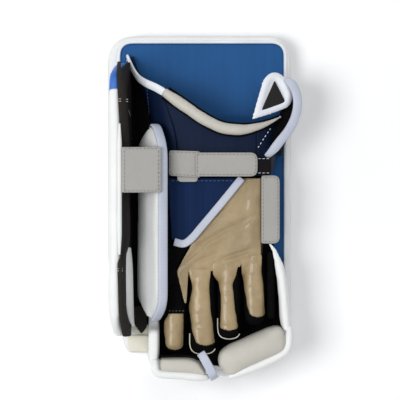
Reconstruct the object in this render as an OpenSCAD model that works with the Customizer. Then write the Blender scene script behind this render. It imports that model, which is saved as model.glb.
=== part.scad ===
// Ice hockey goalie blocker for the right hand, lying on the front face of its board.
// +X is the little-finger side, +Y the cuff end and +Z the palm side. The origin is the
// centre of the board's front face.

/* [Board] */
// Width of the board
board_w = 201; // [190:1:203]
// Length of the board
board_l = 376; // [360:1:381]
// Height of the board's back, where the glove is sewn on
board_t = 22; // [20:1:24]
// Thickness of the skins that cover the board
skin = 1.5; // [1:0.5:2]
// Thickness of the plastic stiffener inside the foam
stiffener_t = 2; // [1.5:0.5:3]

/* [Sidewall] */
// Height of the sidewall along its own slope
sidewall_h = 67; // [60:1:70]
// Thickness of the padded sidewall
sidewall_t = 13; // [10:1:14]
// Outward lean of the sidewall from upright
sidewall_lean = 8.5; // [5:0.5:10]

/* [Thumb guard] */
// Height of the thumb guard along its own slope
thumb_guard_h = 68.5; // [60:0.5:69]
// Thickness of the padded thumb guard
thumb_guard_t = 9; // [7:1:10]
// Lean of the thumb guard over the hand
thumb_guard_lean = 23.5; // [20:0.5:24]

/* [Glove] */
// Height of the palm leather's outer side
palm_z = 61; // [58:1:62]
// Half the thickness of an empty finger at its knuckle
knuckle_r = 15; // [13:0.5:15]
// Radius of the padded roll round the cuff
roll_r = 6.5; // [5:0.5:7]
// Height of the guards in front of the fingertips
guard_z = 70; // [64:1:72]

/* [Straps] */
// Width of the wrist strap
strap_w = 26; // [20:1:28]
// Thickness of one strap layer
strap_t = 3.2; // [2:0.2:3.6]

/* [Hidden] */

half_w = board_w / 2;
half_l = board_l / 2;
edge_t = 3;
fine = 8;
// How far the sidewall's liner sits into its foam
liner_sink = 0.5;

// ---- curves and lofts ----

function unit(v) = v / norm(v);

// A corner at b, rounded between p and q
function bend(p, b, q, n = fine) =
    [for (i = [0:n]) let (t = i / n) (1 - t) * (1 - t) * p + 2 * t * (1 - t) * b + t * t * q];

// The outline through corners given as [x, y, length cut off each side by the rounding]
function rounded(corners) =
    let (m = len(corners))
    [for (i = [0:m - 1])
        let (
            b = [corners[i].x, corners[i].y],
            a = [corners[(i + m - 1) % m].x, corners[(i + m - 1) % m].y],
            c = [corners[(i + 1) % m].x, corners[(i + 1) % m].y],
            cut = corners[i].z
        )
        each bend(b + unit(a - b) * cut, b, b + unit(c - b) * cut)];

// Clockwise corners moved inward by d, with their rounding reduced
function inset(corners, d) =
    let (m = len(corners))
    [for (i = [0:m - 1])
        let (
            b = [corners[i].x, corners[i].y],
            u = unit(b - [corners[(i + m - 1) % m].x, corners[(i + m - 1) % m].y]),
            w = unit([corners[(i + 1) % m].x, corners[(i + 1) % m].y] - b),
            n = [u.y + w.y, -u.x - w.x],
            p = b + n * d / (1 + u * w)
        )
        [p.x, p.y, max(corners[i].z - d, 2)]];

// A smooth line through points, with n steps between each pair
function smooth(p, n = 4) =
    let (m = len(p) - 1)
    [for (i = [0:m - 1], k = [0:(i == m - 1 ? n : n - 1)])
        let (
            t = k / n,
            a = p[max(i - 1, 0)],
            b = p[i],
            c = p[i + 1],
            d = p[min(i + 2, m)]
        )
        0.5 * (2 * b + (c - a) * t + (2 * a - 5 * b + 4 * c - d) * t * t
            + (3 * b - a - 3 * c + d) * t * t * t)];

function slice(list, first, last) = [for (i = [first:last]) list[i]];

function reversed(list) = [for (i = [len(list) - 1:-1:0]) list[i]];

// A four-sided face as two triangles
function split(q) = [[q[0], q[1], q[2]], [q[0], q[2], q[3]]];

// A closed solid through rings of points, each ring with the same even number of points
module loft(rings) {
    n = len(rings[0]);
    last = (len(rings) - 1) * n;
    sides = [for (i = [0:len(rings) - 2], j = [0:n - 1])
        [i * n + j, i * n + (j + 1) % n, (i + 1) * n + (j + 1) % n, (i + 1) * n + j]];
    start = [for (j = [0:n / 2 - 2]) [n - 1 - j, n - 2 - j, j + 1, j]];
    end = [for (j = [0:n / 2 - 2]) [last + j, last + j + 1, last + n - 2 - j, last + n - 1 - j]];
    faces = [for (q = concat(sides, start, end)) each split(q)];
    polyhedron([for (r = rings) each r], faces, convexity = 6);
}

// A flat oval section of the given width and thickness
function oval(w, t) = [for (a = [22.5:45:359]) [w / 2 * cos(a) / cos(22.5), t / 2 * sin(a) / cos(22.5)]];

// A section carried along a line; scale gives its size at each point
module sweep(line, section, taper = 1) {
    m = len(line) - 1;
    rings = [for (i = [0:m])
        let (
            along = unit(line[min(i + 1, m)] - line[max(i - 1, 0)]),
            side = unit(cross(along, [0, 0, 1])),
            up = cross(side, along),
            size = 1 + (taper - 1) * i / m
        )
        [for (s = section) line[i] + (side * s.x + up * s.y) * size]];
    loft(rings);
}

module slab(outline, low, high) {
    translate([0, 0, low]) linear_extrude(high - low) polygon(outline);
}

module ring_slab(outer, inner, low, high) {
    translate([0, 0, low]) linear_extrude(high - low) difference() {
        polygon(outer);
        polygon(inner);
    }
}

// ---- board ----

notch_y = -161;
notch_x = -56;
board_corners = [
    [-half_w, half_l, 31], [half_w, half_l, 27], [half_w, -143, 8], [90, -161, 8],
    [34, -half_l, 8], [-44, -180, 8], [notch_x, -172, 6], [notch_x, notch_y, 1],
    [-79, notch_y, 4], [-86, -142, 10], [-half_w, -70, 30]
];
core_corners = inset(board_corners, edge_t);
panel_corners = [
    [-86, 178.5, 13], [92, 178.5, 13], [92, -136, 8], [82, -152, 6],
    [32, -175, 6], [-44, -169, 6], [-46, -150, 6], [-76, -136, 8], [-86, -70, 20]
];
foam_low = skin;
foam_mid = 9;
back_low = board_t - skin;
band_low = -40;
band_high = 70;

module face_area(low_y, high_y) {
    intersection() {
        slab(rounded(core_corners), 0, skin);
        translate([-half_w, low_y, -1]) cube([board_w, high_y - low_y, board_t]);
    }
}

module face_panel() {
    color("white") {
        face_area(-half_l, band_low);
        face_area(band_high, half_l);
    }
}

module face_band() {
    color("royalblue") face_area(band_low, band_high);
}

module board_foam_front() {
    color("gainsboro") slab(rounded(core_corners), foam_low, foam_mid);
}

module board_stiffener() {
    color("dimgray") slab(rounded(inset(board_corners, 12)), foam_mid, foam_mid + stiffener_t);
}

module board_foam_back() {
    color("gainsboro") difference() {
        slab(rounded(core_corners), foam_mid, back_low);
        slab(rounded(inset(board_corners, 12)), foam_mid - 1, foam_mid + stiffener_t);
    }
}

module board_edge_wrap() {
    color("whitesmoke") {
        ring_slab(rounded(board_corners), rounded(core_corners), 0, back_low);
        ring_slab(rounded(board_corners), rounded(panel_corners), back_low, board_t);
    }
}

module board_back_panel() {
    color("steelblue") slab(rounded(panel_corners), back_low, board_t);
}

module board_binding() {
    color("white") ring_slab(
        rounded(inset(panel_corners, -1.5)), rounded(inset(panel_corners, 2)), board_t, board_t + 2.2
    );
}

module lower_corner() {
    corners = [[-79, -141, 3], [-55.5, -141, 2], [-55.5, -160, 2], [-77, -160, 4]];
    color("tan") slab(rounded(corners), board_t + 2.5, board_t + 6);
}

// ---- finger protection ----

guard_low = board_t + 2.5;

// The wall beside the thumb is cut away where the thumb guard passes over it
module finger_wall() {
    corners = [[-55, -104, 5], [-44, -110, 5], [-44, -161, 3], [-47, -178, 4], [-55, -172, 6]];
    side = [[-100, 0, 1], [-106, 25, 1], [-128, 46, 4], [-134, guard_z - 4, 6],
        [-190, guard_z - 4, 1], [-190, 0, 1]];
    color("whitesmoke") intersection() {
        slab(rounded(corners), guard_low, guard_z);
        wall_plate(rounded(side), -half_w, 0);
    }
}

module finger_guard_left() {
    corners = [[-43.5, -163, 3], [-9, -163, 4], [-1, -166, 3], [12, -184.5, 3], [-45, -180, 6]];
    color("ivory") slab(rounded(corners), guard_low, guard_z);
}

module finger_guard_right() {
    corners = [
        [21, -156, 5], [86, -127.5, 3], [94, -133, 5], [96, -156, 8], [33, -186, 6], [18, -171, 5]
    ];
    color("ivory") slab(rounded(corners), guard_low, guard_z);
}

// The side guard's tapered tip reaches over the little finger's knuckle
module side_guard() {
    wall = [
        [85, -60, 1], [90, -70, 6], [98.5, -112, 12], [100, -140, 3], [96.5, -130, 3],
        [88, -122, 5], [86, -90, 6]
    ];
    tip = [[74, -42], [84, -42.5], [88, -50], [90, -66], [85, -66], [84, -52], [78, -50]];
    color("white") {
        slab(rounded(wall), guard_low, guard_z - 2);
        slab(tip, palm_z + 1.5, guard_z - 2);
    }
}

module guard_tie() {
    corners = [[0.5, -164, 1], [6, -163, 1], [17, -178, 4], [21, -183, 2], [14.5, -185.5, 1]];
    color("silver") slab(rounded(corners), guard_low, guard_z + 1);
}

// ---- sidewall: its own frame has the height along z and the inner face at x = 0 ----

sidewall_base = [-75, 0, board_t + 4.5];
sidewall_corners = [
    [-140, 0, 2], [-144, 36, 8], [-128, sidewall_h, 20], [146, sidewall_h, 16], [158, 34, 14],
    [161, 0, 2]
];
tip_y = 128;

module on_sidewall() {
    translate(sidewall_base) rotate([0, -sidewall_lean, 0]) children();
}

// A plate whose outline is given as [y, height], between two depths
module wall_plate(outline, from, to) {
    translate([to, 0, 0]) rotate([0, -90, 0]) linear_extrude(to - from)
        polygon([for (p = outline) [p.y, p.x]]);
}

module sidewall_core() {
    color("gainsboro") on_sidewall()
        wall_plate(rounded(inset(sidewall_corners, skin)), skin - sidewall_t, -liner_sink);
}

module sidewall_skin_area(low_y, high_y) {
    on_sidewall() intersection() {
        difference() {
            wall_plate(rounded(sidewall_corners), -sidewall_t, -liner_sink);
            wall_plate(rounded(inset(sidewall_corners, skin)), skin - sidewall_t, 1);
        }
        translate([-2 * sidewall_t, low_y, -1])
            cube([3 * sidewall_t, high_y - low_y, 2 * sidewall_h]);
    }
}

module sidewall_outer_skin() {
    color("white") sidewall_skin_area(-2 * half_l, tip_y);
}

module sidewall_tip() {
    color("royalblue") sidewall_skin_area(tip_y, 2 * half_l);
}

module sidewall_liner() {
    color("dimgray") on_sidewall() wall_plate(rounded(inset(sidewall_corners, 2)), -liner_sink, 1);
}

module sidewall_webbing() {
    outline = [[-124, 32, 8], [-122, 56, 8], [144, 58, 3], [150, 32, 3]];
    color("black") on_sidewall() wall_plate(rounded(outline), 1, 2.6);
}

module sidewall_inner_flap() {
    outline = [[-132, 2, 8], [-122, 40, 14], [-40, 30, 8], [-38, 2, 2]];
    color("whitesmoke") on_sidewall() wall_plate(rounded(outline), 2.8, 5);
}

// ---- link band between the sidewall and the thumb guard ----

band_y0 = 15;
band_y1 = 64;
band_z = 91.3;
band_x0 = -83;
band_x1 = -40.5;

module link_band_anchor() {
    low = sidewall_h - 15;
    high = sidewall_h - 4;
    outline = [[band_y0, low, 1], [band_y0, high, 1], [band_y1, high, 1], [band_y1, low, 1]];
    color("lightgray") on_sidewall() wall_plate(rounded(outline), 2.6, 4.2);
}

module link_band() {
    corners = [[band_x0, band_y0, 1], [band_x0, band_y1, 1], [band_x1, band_y1, 1.5],
        [band_x1, band_y0, 1.5]];
    color("lightgray") slab(rounded(corners), band_z, band_z + 3);
}

// ---- thumb guard: its own frame has the height along z and the outer face at x = 0 ----

thumb_guard_base = [-70, 0, board_t + 4];
thumb_guard_corners = [
    [-104, 0, 4], [-128, 40, 14], [-108, thumb_guard_h, 17], [66, thumb_guard_h, 17],
    [93, 46, 14], [72, 0, 14]
];
binding_t = 2;

module on_thumb_guard() {
    translate(thumb_guard_base) rotate([0, thumb_guard_lean, 0]) children();
}

module thumb_guard_core() {
    color("gainsboro") on_thumb_guard()
        wall_plate(rounded(inset(thumb_guard_corners, binding_t)), skin, thumb_guard_t - skin);
}

module thumb_guard_outer_skin() {
    color("white") on_thumb_guard()
        wall_plate(rounded(inset(thumb_guard_corners, binding_t)), 0, skin);
}

module thumb_guard_inner_skin() {
    color("gray") on_thumb_guard()
        wall_plate(rounded(inset(thumb_guard_corners, binding_t)), thumb_guard_t - skin, thumb_guard_t);
}

module thumb_guard_binding() {
    color("aliceblue") on_thumb_guard() difference() {
        wall_plate(rounded(thumb_guard_corners), 0, thumb_guard_t);
        wall_plate(rounded(inset(thumb_guard_corners, binding_t)), -1, thumb_guard_t + 1);
    }
}

module thumb_guard_tab() {
    corners = [[-71, -109, 2], [-57.5, -110, 2], [-57.5, -132, 1], [-63.5, -140.5, 1], [-71, -130, 1]];
    color("black") slab(rounded(corners), board_t + 2.5, board_t + 4.5);
}

// ---- glove ----

pad_z = 30;
leather_t = 2.5;
palm_low = palm_z - leather_t;
knuckle_z = palm_z - knuckle_r;
glove_left = -36;
glove_right = 66;
wrist_y = 31;

module glove_back_pad() {
    corners = [[-43, -58, 6], [-43, 74, 8], [79, 74, 8], [79, -44, 8], [72, -58, 6]];
    color("black") slab(rounded(corners), board_t, pad_z);
}

module finger_backing() {
    corners = [[-41, -60, 4], [84, -60, 4], [84, -122, 6], [18, -152, 8], [-41, -158, 6]];
    color("black") slab(rounded(corners), board_t + 2.5, pad_z);
}

// Each finger: left side, right side, knuckle and tip
index_finger = [-11.5, 17.5, -78, -160];
middle_finger = [20, 45, -71, -143.5];
ring_finger = [47.5, 72, -63, -129];
little_finger = [73, 82.5, -60, -122.5];

palm_edge = knuckle_r - 4.5;

module palm() {
    corners = [
        [glove_left + 6, wrist_y, 1], [glove_right, wrist_y, 1], [glove_right, -48, 4],
        [ring_finger[1], ring_finger[2] + palm_edge, 2],
        [ring_finger[0] - 1, ring_finger[2] + palm_edge, 1],
        [middle_finger[1] + 1, middle_finger[2] + palm_edge, 1],
        [middle_finger[0] - 1, middle_finger[2] + palm_edge, 1],
        [index_finger[1] + 1, index_finger[2] + palm_edge, 1],
        [index_finger[0] - 2, index_finger[2] + palm_edge, 1],
        [-26, -66, 3], [glove_left + 6, -58, 3]
    ];
    color("burlywood") slab(rounded(corners), palm_low, palm_z);
}

module thumb_side_gusset() {
    corners = [[glove_left, wrist_y, 1], [glove_left + 5.5, wrist_y, 1],
        [glove_left + 5.5, -62, 2], [glove_left, -66, 2]];
    color("black") slab(rounded(corners), pad_z, palm_z);
}

module hand_side_gusset() {
    corners = [[glove_right, wrist_y, 1], [glove_right + 5, wrist_y, 1],
        [glove_right + 5, -44, 2], [glove_right, -47, 2]];
    color("black") slab(rounded(corners), pad_z, palm_z);
}

module gauntlet_flap() {
    corners = [[glove_left + 2, wrist_y, 1], [44, wrist_y, 2], [-12, -38, 8], [-30, -38, 6]];
    color("midnightblue") slab(rounded(corners), palm_z, palm_z + 2.5);
}

module gauntlet_binding() {
    route = [[46, 31, 65], [34, 16, 65], [20, -1, 65], [4, -20, 65], [-8, -34, 65],
        [-17, -40, 65], [-27, -38, 65]];
    color("aliceblue") sweep(smooth(route), oval(8, 2.6));
}

// The side view of a finger: round at the knuckle and lower at its tip
module finger_profile(length) {
    rotate([90, 0, 90]) linear_extrude(200, center = true) union() {
        circle(knuckle_r, $fn = 48);
        polygon(rounded([
            [0, knuckle_r, 0.1], [-length, knuckle_r - 2, 7], [-length, -knuckle_r + 3, 9],
            [0, -knuckle_r, 0.1]
        ]));
    }
}

module finger_shape(finger, low, high) {
    width = finger[1] - finger[0];
    round_tip = width * 0.3;
    intersection() {
        translate([0, finger[2], knuckle_z]) finger_profile(finger[2] - finger[3]);
        slab(rounded([
            [finger[0], finger[2] + 2 * knuckle_r, 1], [finger[1], finger[2] + 2 * knuckle_r, 1],
            [finger[1], finger[3], round_tip], [finger[0], finger[3], round_tip]
        ]), low, high);
    }
}

leather_z = palm_z - 3.6;
cap_l = 9;

module finger_leather_area(finger) {
    translate([finger[0] - 1, finger[3] + cap_l, leather_z])
        cube([finger[1] - finger[0] + 2, finger[2] - finger[3] - cap_l + 2 * knuckle_r, 50]);
}

module finger_sleeve(finger) {
    difference() {
        finger_shape(finger, 0, 100);
        finger_leather_area(finger);
    }
}

module finger_leather(finger) {
    intersection() {
        finger_shape(finger, 0, 100);
        finger_leather_area(finger);
    }
}

module index_sleeve() {
    color("black") finger_sleeve(index_finger);
}

module index_leather() {
    color("burlywood") finger_leather(index_finger);
}

module middle_sleeve() {
    color("black") finger_sleeve(middle_finger);
}

module middle_leather() {
    color("burlywood") finger_leather(middle_finger);
}

module ring_sleeve() {
    color("black") finger_sleeve(ring_finger);
}

module ring_leather() {
    color("burlywood") finger_leather(ring_finger);
}

module little_sleeve() {
    color("black") finger_sleeve(little_finger);
}

module little_leather() {
    color("dimgray") finger_leather(little_finger);
}

thumb = [-36.5, -13.5, -104, -158];

module thumb_root() {
    corners = [[thumb[0], -68.5, 3], [thumb[1], -69, 3], [thumb[1], -86, 1], [thumb[0], -86, 1]];
    color("black") slab(rounded(corners), pad_z + 1, palm_z - 1);
}

module thumb_tip() {
    color("black") finger_sleeve(thumb);
}

module thumb_patch() {
    color("burlywood") finger_leather(thumb);
}

// ---- cuff: three rows of points, from the wrist to the mouth, over the hand ----

cuff_axis = [15, 20];
cuff_t = 3;
cuff_rows = [
    [[-47, 32, 25], [-44, 32, 42], [-36, 32, 57], [-24, 32, 63], [10, 32, 65], [40, 32, 65],
        [62, 33, 63], [76, 36, 52], [82, 40, 38], [83, 42, 25]],
    [[-49, 78, 25], [-47, 80, 42], [-38, 80, 57], [-26, 78, 65], [8, 72, 68], [38, 67, 67.5],
        [62, 66, 65], [78, 70, 54], [85, 74, 38], [86, 76, 25]],
    [[-74, 169, 25], [-68, 153, 38], [-59.5, 139, 52], [-41, 122, 68], [0, 91, 71], [36, 77, 71],
        [62, 82, 68.5], [80, 89, 57], [87, 94, 40], [88, 96, 25]]
];
steps = 4;
cuff_lines = [for (r = cuff_rows) smooth(r, steps)];
cuff_grid = [for (k = [0:2 * steps])
    [for (c = [0:len(cuff_lines[0]) - 1])
        smooth([cuff_lines[0][c], cuff_lines[1][c], cuff_lines[2][c]], steps)[k]]];

function inward(p, t) = p - t * unit([p.x - cuff_axis.x, 0, p.z - cuff_axis.y]);

module cuff_patch(first, last) {
    loft([for (r = cuff_grid)
        let (outer = slice(r, first * steps, last * steps))
        concat([for (p = outer) inward(p, cuff_t)], reversed(outer))]);
}

module cuff_left_wall() {
    color("midnightblue") cuff_patch(0, 3);
}

module cuff_wrist_panel() {
    color("midnightblue") cuff_patch(3, 6);
}

module cuff_right_wall() {
    color("midnightblue") cuff_patch(6, 9);
}

module cuff_roll() {
    route = [[-37, 125, 69], [-15, 108, 71], [1, 97, 71.5], [22, 86, 71.5], [44, 83, 70.5],
        [62, 86, 67], [77, 92, 60]];
    color("cornsilk") sweep(smooth(route), oval(2 * roll_r, 2 * roll_r), 0.7);
}

module cuff_edge_binding() {
    route = [[-75, 173, 25.5], [-69, 157, 37], [-61.5, 143.5, 50], [-52, 132, 61], [-42, 127.5, 67.5]];
    color("white") sweep(smooth(route), oval(7, 5));
}

// ---- cuff wing on the little-finger side ----

wing_t = 4;
wing_foot = [[89.5, 55, 26], [94, 74, 26], [96, 92, 26], [97, 109, 26], [96, 126, 26], [91, 137, 27]];
wing_top = [[84, 57, 56], [95, 75, 62], [103, 92, 65], [106, 109, 65], [103.5, 128, 60], [96, 139, 51]];

module cuff_wing() {
    foot = smooth(wing_foot);
    top = smooth(wing_top);
    rings = [for (i = [0:len(foot) - 1])
        let (
            along = unit(foot[min(i + 1, len(foot) - 1)] - foot[max(i - 1, 0)]),
            out = unit(cross(along, [0, 0, 1])) * wing_t / 2
        )
        [foot[i] + out, top[i] + out, top[i] - out, foot[i] - out]];
    color("dimgray") loft(rings);
}

module cuff_wing_binding() {
    color("white") sweep(smooth([for (p = wing_top) p + [0, 0, 2.6]]), oval(7, 5));
}

tongue_rows = [
    [[60, 101, 70], [76, 108, 64], [92, 116, 54]],
    [[64, 118, 67], [78, 121, 61], [94, 124, 52]],
    [[70, 136, 62], [80, 138, 57], [91, 138, 51]],
    [[77, 144, 58], [82, 145, 56], [87, 144.5, 53]]
];

module cuff_tongue() {
    color("dimgray") loft([for (r = tongue_rows)
        let (line = smooth(r, 3))
        concat([for (p = line) p - [0, 0, 4]], reversed(line))]);
}

module cuff_tongue_binding() {
    route = [[92, 113, 55], [75, 105, 65], [58.5, 97.5, 71.5], [58.5, 107, 71], [65, 128, 66.5],
        [72, 142, 62], [80, 148, 58], [88, 146.5, 54], [93.5, 138, 52]];
    color("white") sweep(smooth(route), oval(6, 6));
}

// ---- straps ----

strap_y0 = 32.5;
strap_y1 = strap_y0 + strap_w;
keeper_z = 67.4;
strap_z = keeper_z + strap_t + 0.6;
strap_x0 = -4;
strap_x1 = 63;

module strap_keeper() {
    corners = [[-33, 33.5, 2], [-33, 61, 2], [1.5, 60, 2], [1.5, 31, 2]];
    color("silver") slab(rounded(corners), keeper_z, keeper_z + strap_t);
}

module wrist_strap() {
    corners = [[strap_x0, strap_y0, 1], [strap_x0, strap_y1, 1], [strap_x1, strap_y1, 8],
        [strap_x1, strap_y0, 8]];
    color("silver") slab(rounded(corners), strap_z, strap_z + strap_t);
}

module strap_hook_pad() {
    corners = [[26, strap_y0 + 4, 1], [26, strap_y1 - 4, 1], [54, strap_y1 - 4, 1],
        [54, strap_y0 + 4, 1]];
    color("black") slab(rounded(corners), strap_z - 1.4, strap_z);
}

module wrist_elastic() {
    corners = [[58, 35, 1], [58, 53, 1], [78, 53, 1], [78, 35, 1]];
    color("black") slab(rounded(corners), keeper_z - 1, strap_z - 0.5);
}

tab_z = palm_z + 2.5;
tab_y0 = -40;
tab_y1 = 34;

module hand_tab() {
    corners = [[67, tab_y0, 1], [67, tab_y1, 1], [87, tab_y1, 7], [87, tab_y0, 7]];
    color("silver") slab(rounded(corners), tab_z, tab_z + strap_t);
}

module tab_hook_pad() {
    corners = [[69, tab_y0 + 7, 1], [69, tab_y1 - 7, 1], [82, tab_y1 - 7, 1], [82, tab_y0 + 7, 1]];
    color("black") slab(rounded(corners), tab_z - 1.4, tab_z);
}

face_panel();
face_band();
board_foam_front();
board_stiffener();
board_foam_back();
board_edge_wrap();
board_back_panel();
board_binding();
lower_corner();
finger_wall();
finger_guard_left();
finger_guard_right();
side_guard();
guard_tie();
sidewall_core();
sidewall_outer_skin();
sidewall_tip();
sidewall_liner();
sidewall_webbing();
sidewall_inner_flap();
link_band_anchor();
link_band();
thumb_guard_core();
thumb_guard_outer_skin();
thumb_guard_inner_skin();
thumb_guard_binding();
thumb_guard_tab();
glove_back_pad();
finger_backing();
palm();
thumb_side_gusset();
hand_side_gusset();
gauntlet_flap();
gauntlet_binding();
index_sleeve();
index_leather();
middle_sleeve();
middle_leather();
ring_sleeve();
ring_leather();
little_sleeve();
little_leather();
thumb_root();
thumb_tip();
thumb_patch();
cuff_left_wall();
cuff_wrist_panel();
cuff_right_wall();
cuff_roll();
cuff_edge_binding();
cuff_wing();
cuff_wing_binding();
cuff_tongue();
cuff_tongue_binding();
strap_keeper();
wrist_strap();
strap_hook_pad();
wrist_elastic();
hand_tab();
tab_hook_pad();
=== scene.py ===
"""Looks of an ice hockey goalie blocker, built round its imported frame.

The blocker lies on the front face of its board. +X is the little-finger side, +Y the cuff end
and +Z the palm side. Lengths in this script are millimetres until mm() turns them into metres.
"""
import math
import bpy
import bmesh
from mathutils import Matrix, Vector, noise
from mathutils.geometry import intersect_point_line, intersect_ray_tri


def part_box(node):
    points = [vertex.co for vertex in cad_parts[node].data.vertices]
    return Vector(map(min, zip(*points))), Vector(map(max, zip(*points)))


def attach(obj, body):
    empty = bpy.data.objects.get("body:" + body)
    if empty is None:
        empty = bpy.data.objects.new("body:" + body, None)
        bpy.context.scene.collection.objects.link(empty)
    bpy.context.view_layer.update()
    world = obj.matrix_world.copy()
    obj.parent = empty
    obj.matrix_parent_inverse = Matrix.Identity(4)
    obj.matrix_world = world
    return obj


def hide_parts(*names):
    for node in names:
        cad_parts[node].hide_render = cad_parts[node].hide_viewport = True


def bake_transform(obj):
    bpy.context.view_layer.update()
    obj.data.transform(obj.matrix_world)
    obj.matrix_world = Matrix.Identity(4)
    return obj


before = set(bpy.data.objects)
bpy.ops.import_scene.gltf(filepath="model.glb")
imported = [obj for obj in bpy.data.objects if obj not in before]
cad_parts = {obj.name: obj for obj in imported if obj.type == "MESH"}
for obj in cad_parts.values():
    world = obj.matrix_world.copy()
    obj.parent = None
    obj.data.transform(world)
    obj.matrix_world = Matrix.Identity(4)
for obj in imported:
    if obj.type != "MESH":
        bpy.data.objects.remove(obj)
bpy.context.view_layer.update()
scene = bpy.context.scene

MM = 0.001
UP = Vector((0, 0, 1))
DOWN = -UP


def mm(*xyz):
    return Vector(xyz) * MM


def route(*points):
    return [mm(*p) for p in points]


def box_mm(node):
    low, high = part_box(node)
    return low / MM, high / MM


# ---------------------------------------------------------------- materials

class Look:
    """A Principled material and short names for the nodes that give it its detail."""

    def __init__(self, name, color, roughness, coat=0.0, specular=0.5):
        self.material = bpy.data.materials.new(name)
        self.material.use_nodes = True
        self.tree = self.material.node_tree
        self.shader = self.tree.nodes["Principled BSDF"]
        self.color = (*color, 1)
        self.put("Base Color", self.color)
        self.put("Roughness", roughness)
        self.put("Specular IOR Level", specular)
        self.put("Coat Weight", coat)
        self.material.diffuse_color = self.color
        self.heights = []

    def put(self, socket, value):
        self.shader.inputs[socket].default_value = value

    def node(self, kind, **settings):
        made = self.tree.nodes.new(kind)
        for key, value in settings.items():
            if hasattr(made, key):
                setattr(made, key, value)
            else:
                made.inputs[key.replace("_", " ")].default_value = value
        return made

    def link(self, out, into):
        self.tree.links.new(out, into)

    def place(self, scale=(1, 1, 1), uv=False):
        """Coordinates in metres, along the object's own axes or along a tape."""
        found = self.node("ShaderNodeUVMap") if uv else self.node("ShaderNodeTexCoord")
        mapping = self.node("ShaderNodeMapping")
        mapping.inputs["Scale"].default_value = scale
        self.link(found.outputs["UV" if uv else "Object"], mapping.inputs["Vector"])
        return mapping.outputs["Vector"]

    def noise(self, scale, detail=3, stretch=(1, 1, 1)):
        made = self.node("ShaderNodeTexNoise", Scale=scale, Detail=detail)
        self.link(self.place(stretch), made.inputs["Vector"])
        return made.outputs["Fac"]

    def cells(self, size, stretch=(1, 1, 1)):
        made = self.node("ShaderNodeTexVoronoi", feature="DISTANCE_TO_EDGE", Scale=1 / (size * MM))
        self.link(self.place(stretch), made.inputs["Vector"])
        return made.outputs["Distance"]

    def ribs(self, pitch, axis, uv=False):
        """Smooth ridges that repeat every pitch along an axis."""
        made = self.node("ShaderNodeTexWave", wave_type="BANDS", bands_direction=axis)
        made.inputs["Scale"].default_value = math.tau / 20 / (pitch * MM)
        self.link(self.place(uv=uv), made.inputs["Vector"])
        return made.outputs["Fac"]

    def maths(self, operation, a, b):
        made = self.node("ShaderNodeMath", operation=operation)
        for socket, value in zip(made.inputs, (a, b)):
            if isinstance(value, (int, float)):
                socket.default_value = value
            else:
                self.link(value, socket)
        return made.outputs[0]

    def spread(self, value, low, high, from_low=0.3, from_high=0.7):
        made = self.node("ShaderNodeMapRange", From_Min=from_low, From_Max=from_high, To_Min=low,
                         To_Max=high)
        self.link(value, made.inputs["Value"])
        return made.outputs["Result"]

    def shade(self, value, low, high, from_low=0.3, from_high=0.7):
        """Multiplies the colour by low to high as value runs over its range."""
        factor = self.spread(value, low, high, from_low, from_high)
        into = self.shader.inputs["Base Color"]
        made = self.node("ShaderNodeVectorMath", operation="SCALE")
        if into.is_linked:
            self.link(into.links[0].from_socket, made.inputs[0])
        else:
            made.inputs[0].default_value = self.color[:3]
        self.link(factor, made.inputs["Scale"])
        self.link(made.outputs[0], into)

    def rough(self, value, low, high):
        self.link(self.spread(value, low, high), self.shader.inputs["Roughness"])

    def relief(self, value, height):
        """Adds value, times height in millimetres, to the surface's relief."""
        self.heights.append(self.maths("MULTIPLY", value, height))

    def done(self):
        total = self.heights[0]
        for part in self.heights[1:]:
            total = self.maths("ADD", total, part)
        bump = self.node("ShaderNodeBump", Strength=1.0, Distance=MM)
        self.link(total, bump.inputs["Height"])
        self.link(bump.outputs["Normal"], self.shader.inputs["Normal"])
        return self.material


def leather(name, color, roughness, grain=1.3, depth=0.10, mottle=0.05, creases=0.0, coat=0.0):
    look = Look(name, color, roughness, coat=coat)
    look.shade(look.noise(22, 5), 1 - mottle, 1 + mottle)
    look.shade(look.noise(140, 4), 1 - mottle / 2, 1 + mottle / 2)
    look.rough(look.noise(45, 4), roughness - 0.07, roughness + 0.09)
    look.relief(look.spread(look.cells(grain), 0, 1, 0, 0.25), depth)
    look.relief(look.noise(900, 3), depth)
    look.relief(look.noise(60, 3), 0.25)
    if creases:
        look.relief(look.noise(70, 6, (1, 0.35, 1)), creases)
        # The same noise as the creases' relief darkens their hollows and lightens their ridges: painted
        # shade and highlight.
        look.shade(look.noise(70, 6, (1, 0.35, 1)), 0.93, 1.04)
    return look.done()


def weave(name, color, roughness, pitch=1.1, depth=0.12, streaks=0.06, across="X", along="Y",
          specular=0.2):
    look = Look(name, color, roughness, specular=specular)
    warp = look.ribs(pitch, across)
    weft = look.ribs(pitch, along)
    cloth = look.maths("MAXIMUM", warp, weft)
    # Lighter where the threads cross and darker where they dip, in step with the weave's relief: painted
    # shade.
    look.shade(look.maths("MULTIPLY", warp, weft), 0.86, 1.12, 0, 0.8)
    look.shade(look.noise(260, 3, (1, 0.04, 0.04)), 1 - streaks, 1 + streaks)
    look.shade(look.noise(16, 4), 1 - streaks, 1 + streaks)
    look.relief(cloth, depth)
    look.relief(look.noise(90, 4), 0.3)
    return look.done()


def tape(name, color, roughness, pitch=1.5, depth=0.16, shade=0.05, specular=0.3):
    """Woven tape: ribs across it, with its length along u."""
    look = Look(name, color, roughness, specular=specular)
    ribs = look.ribs(pitch, "X", uv=True)
    # Darker in the grooves between the ribs, as their relief: painted shade.
    look.shade(ribs, 1 - shade, 1 + shade, 0, 1)
    look.shade(look.noise(30, 4), 1 - shade, 1 + shade)
    look.relief(ribs, depth)
    look.relief(look.noise(150, 3), 0.2)
    return look.done()


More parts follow.
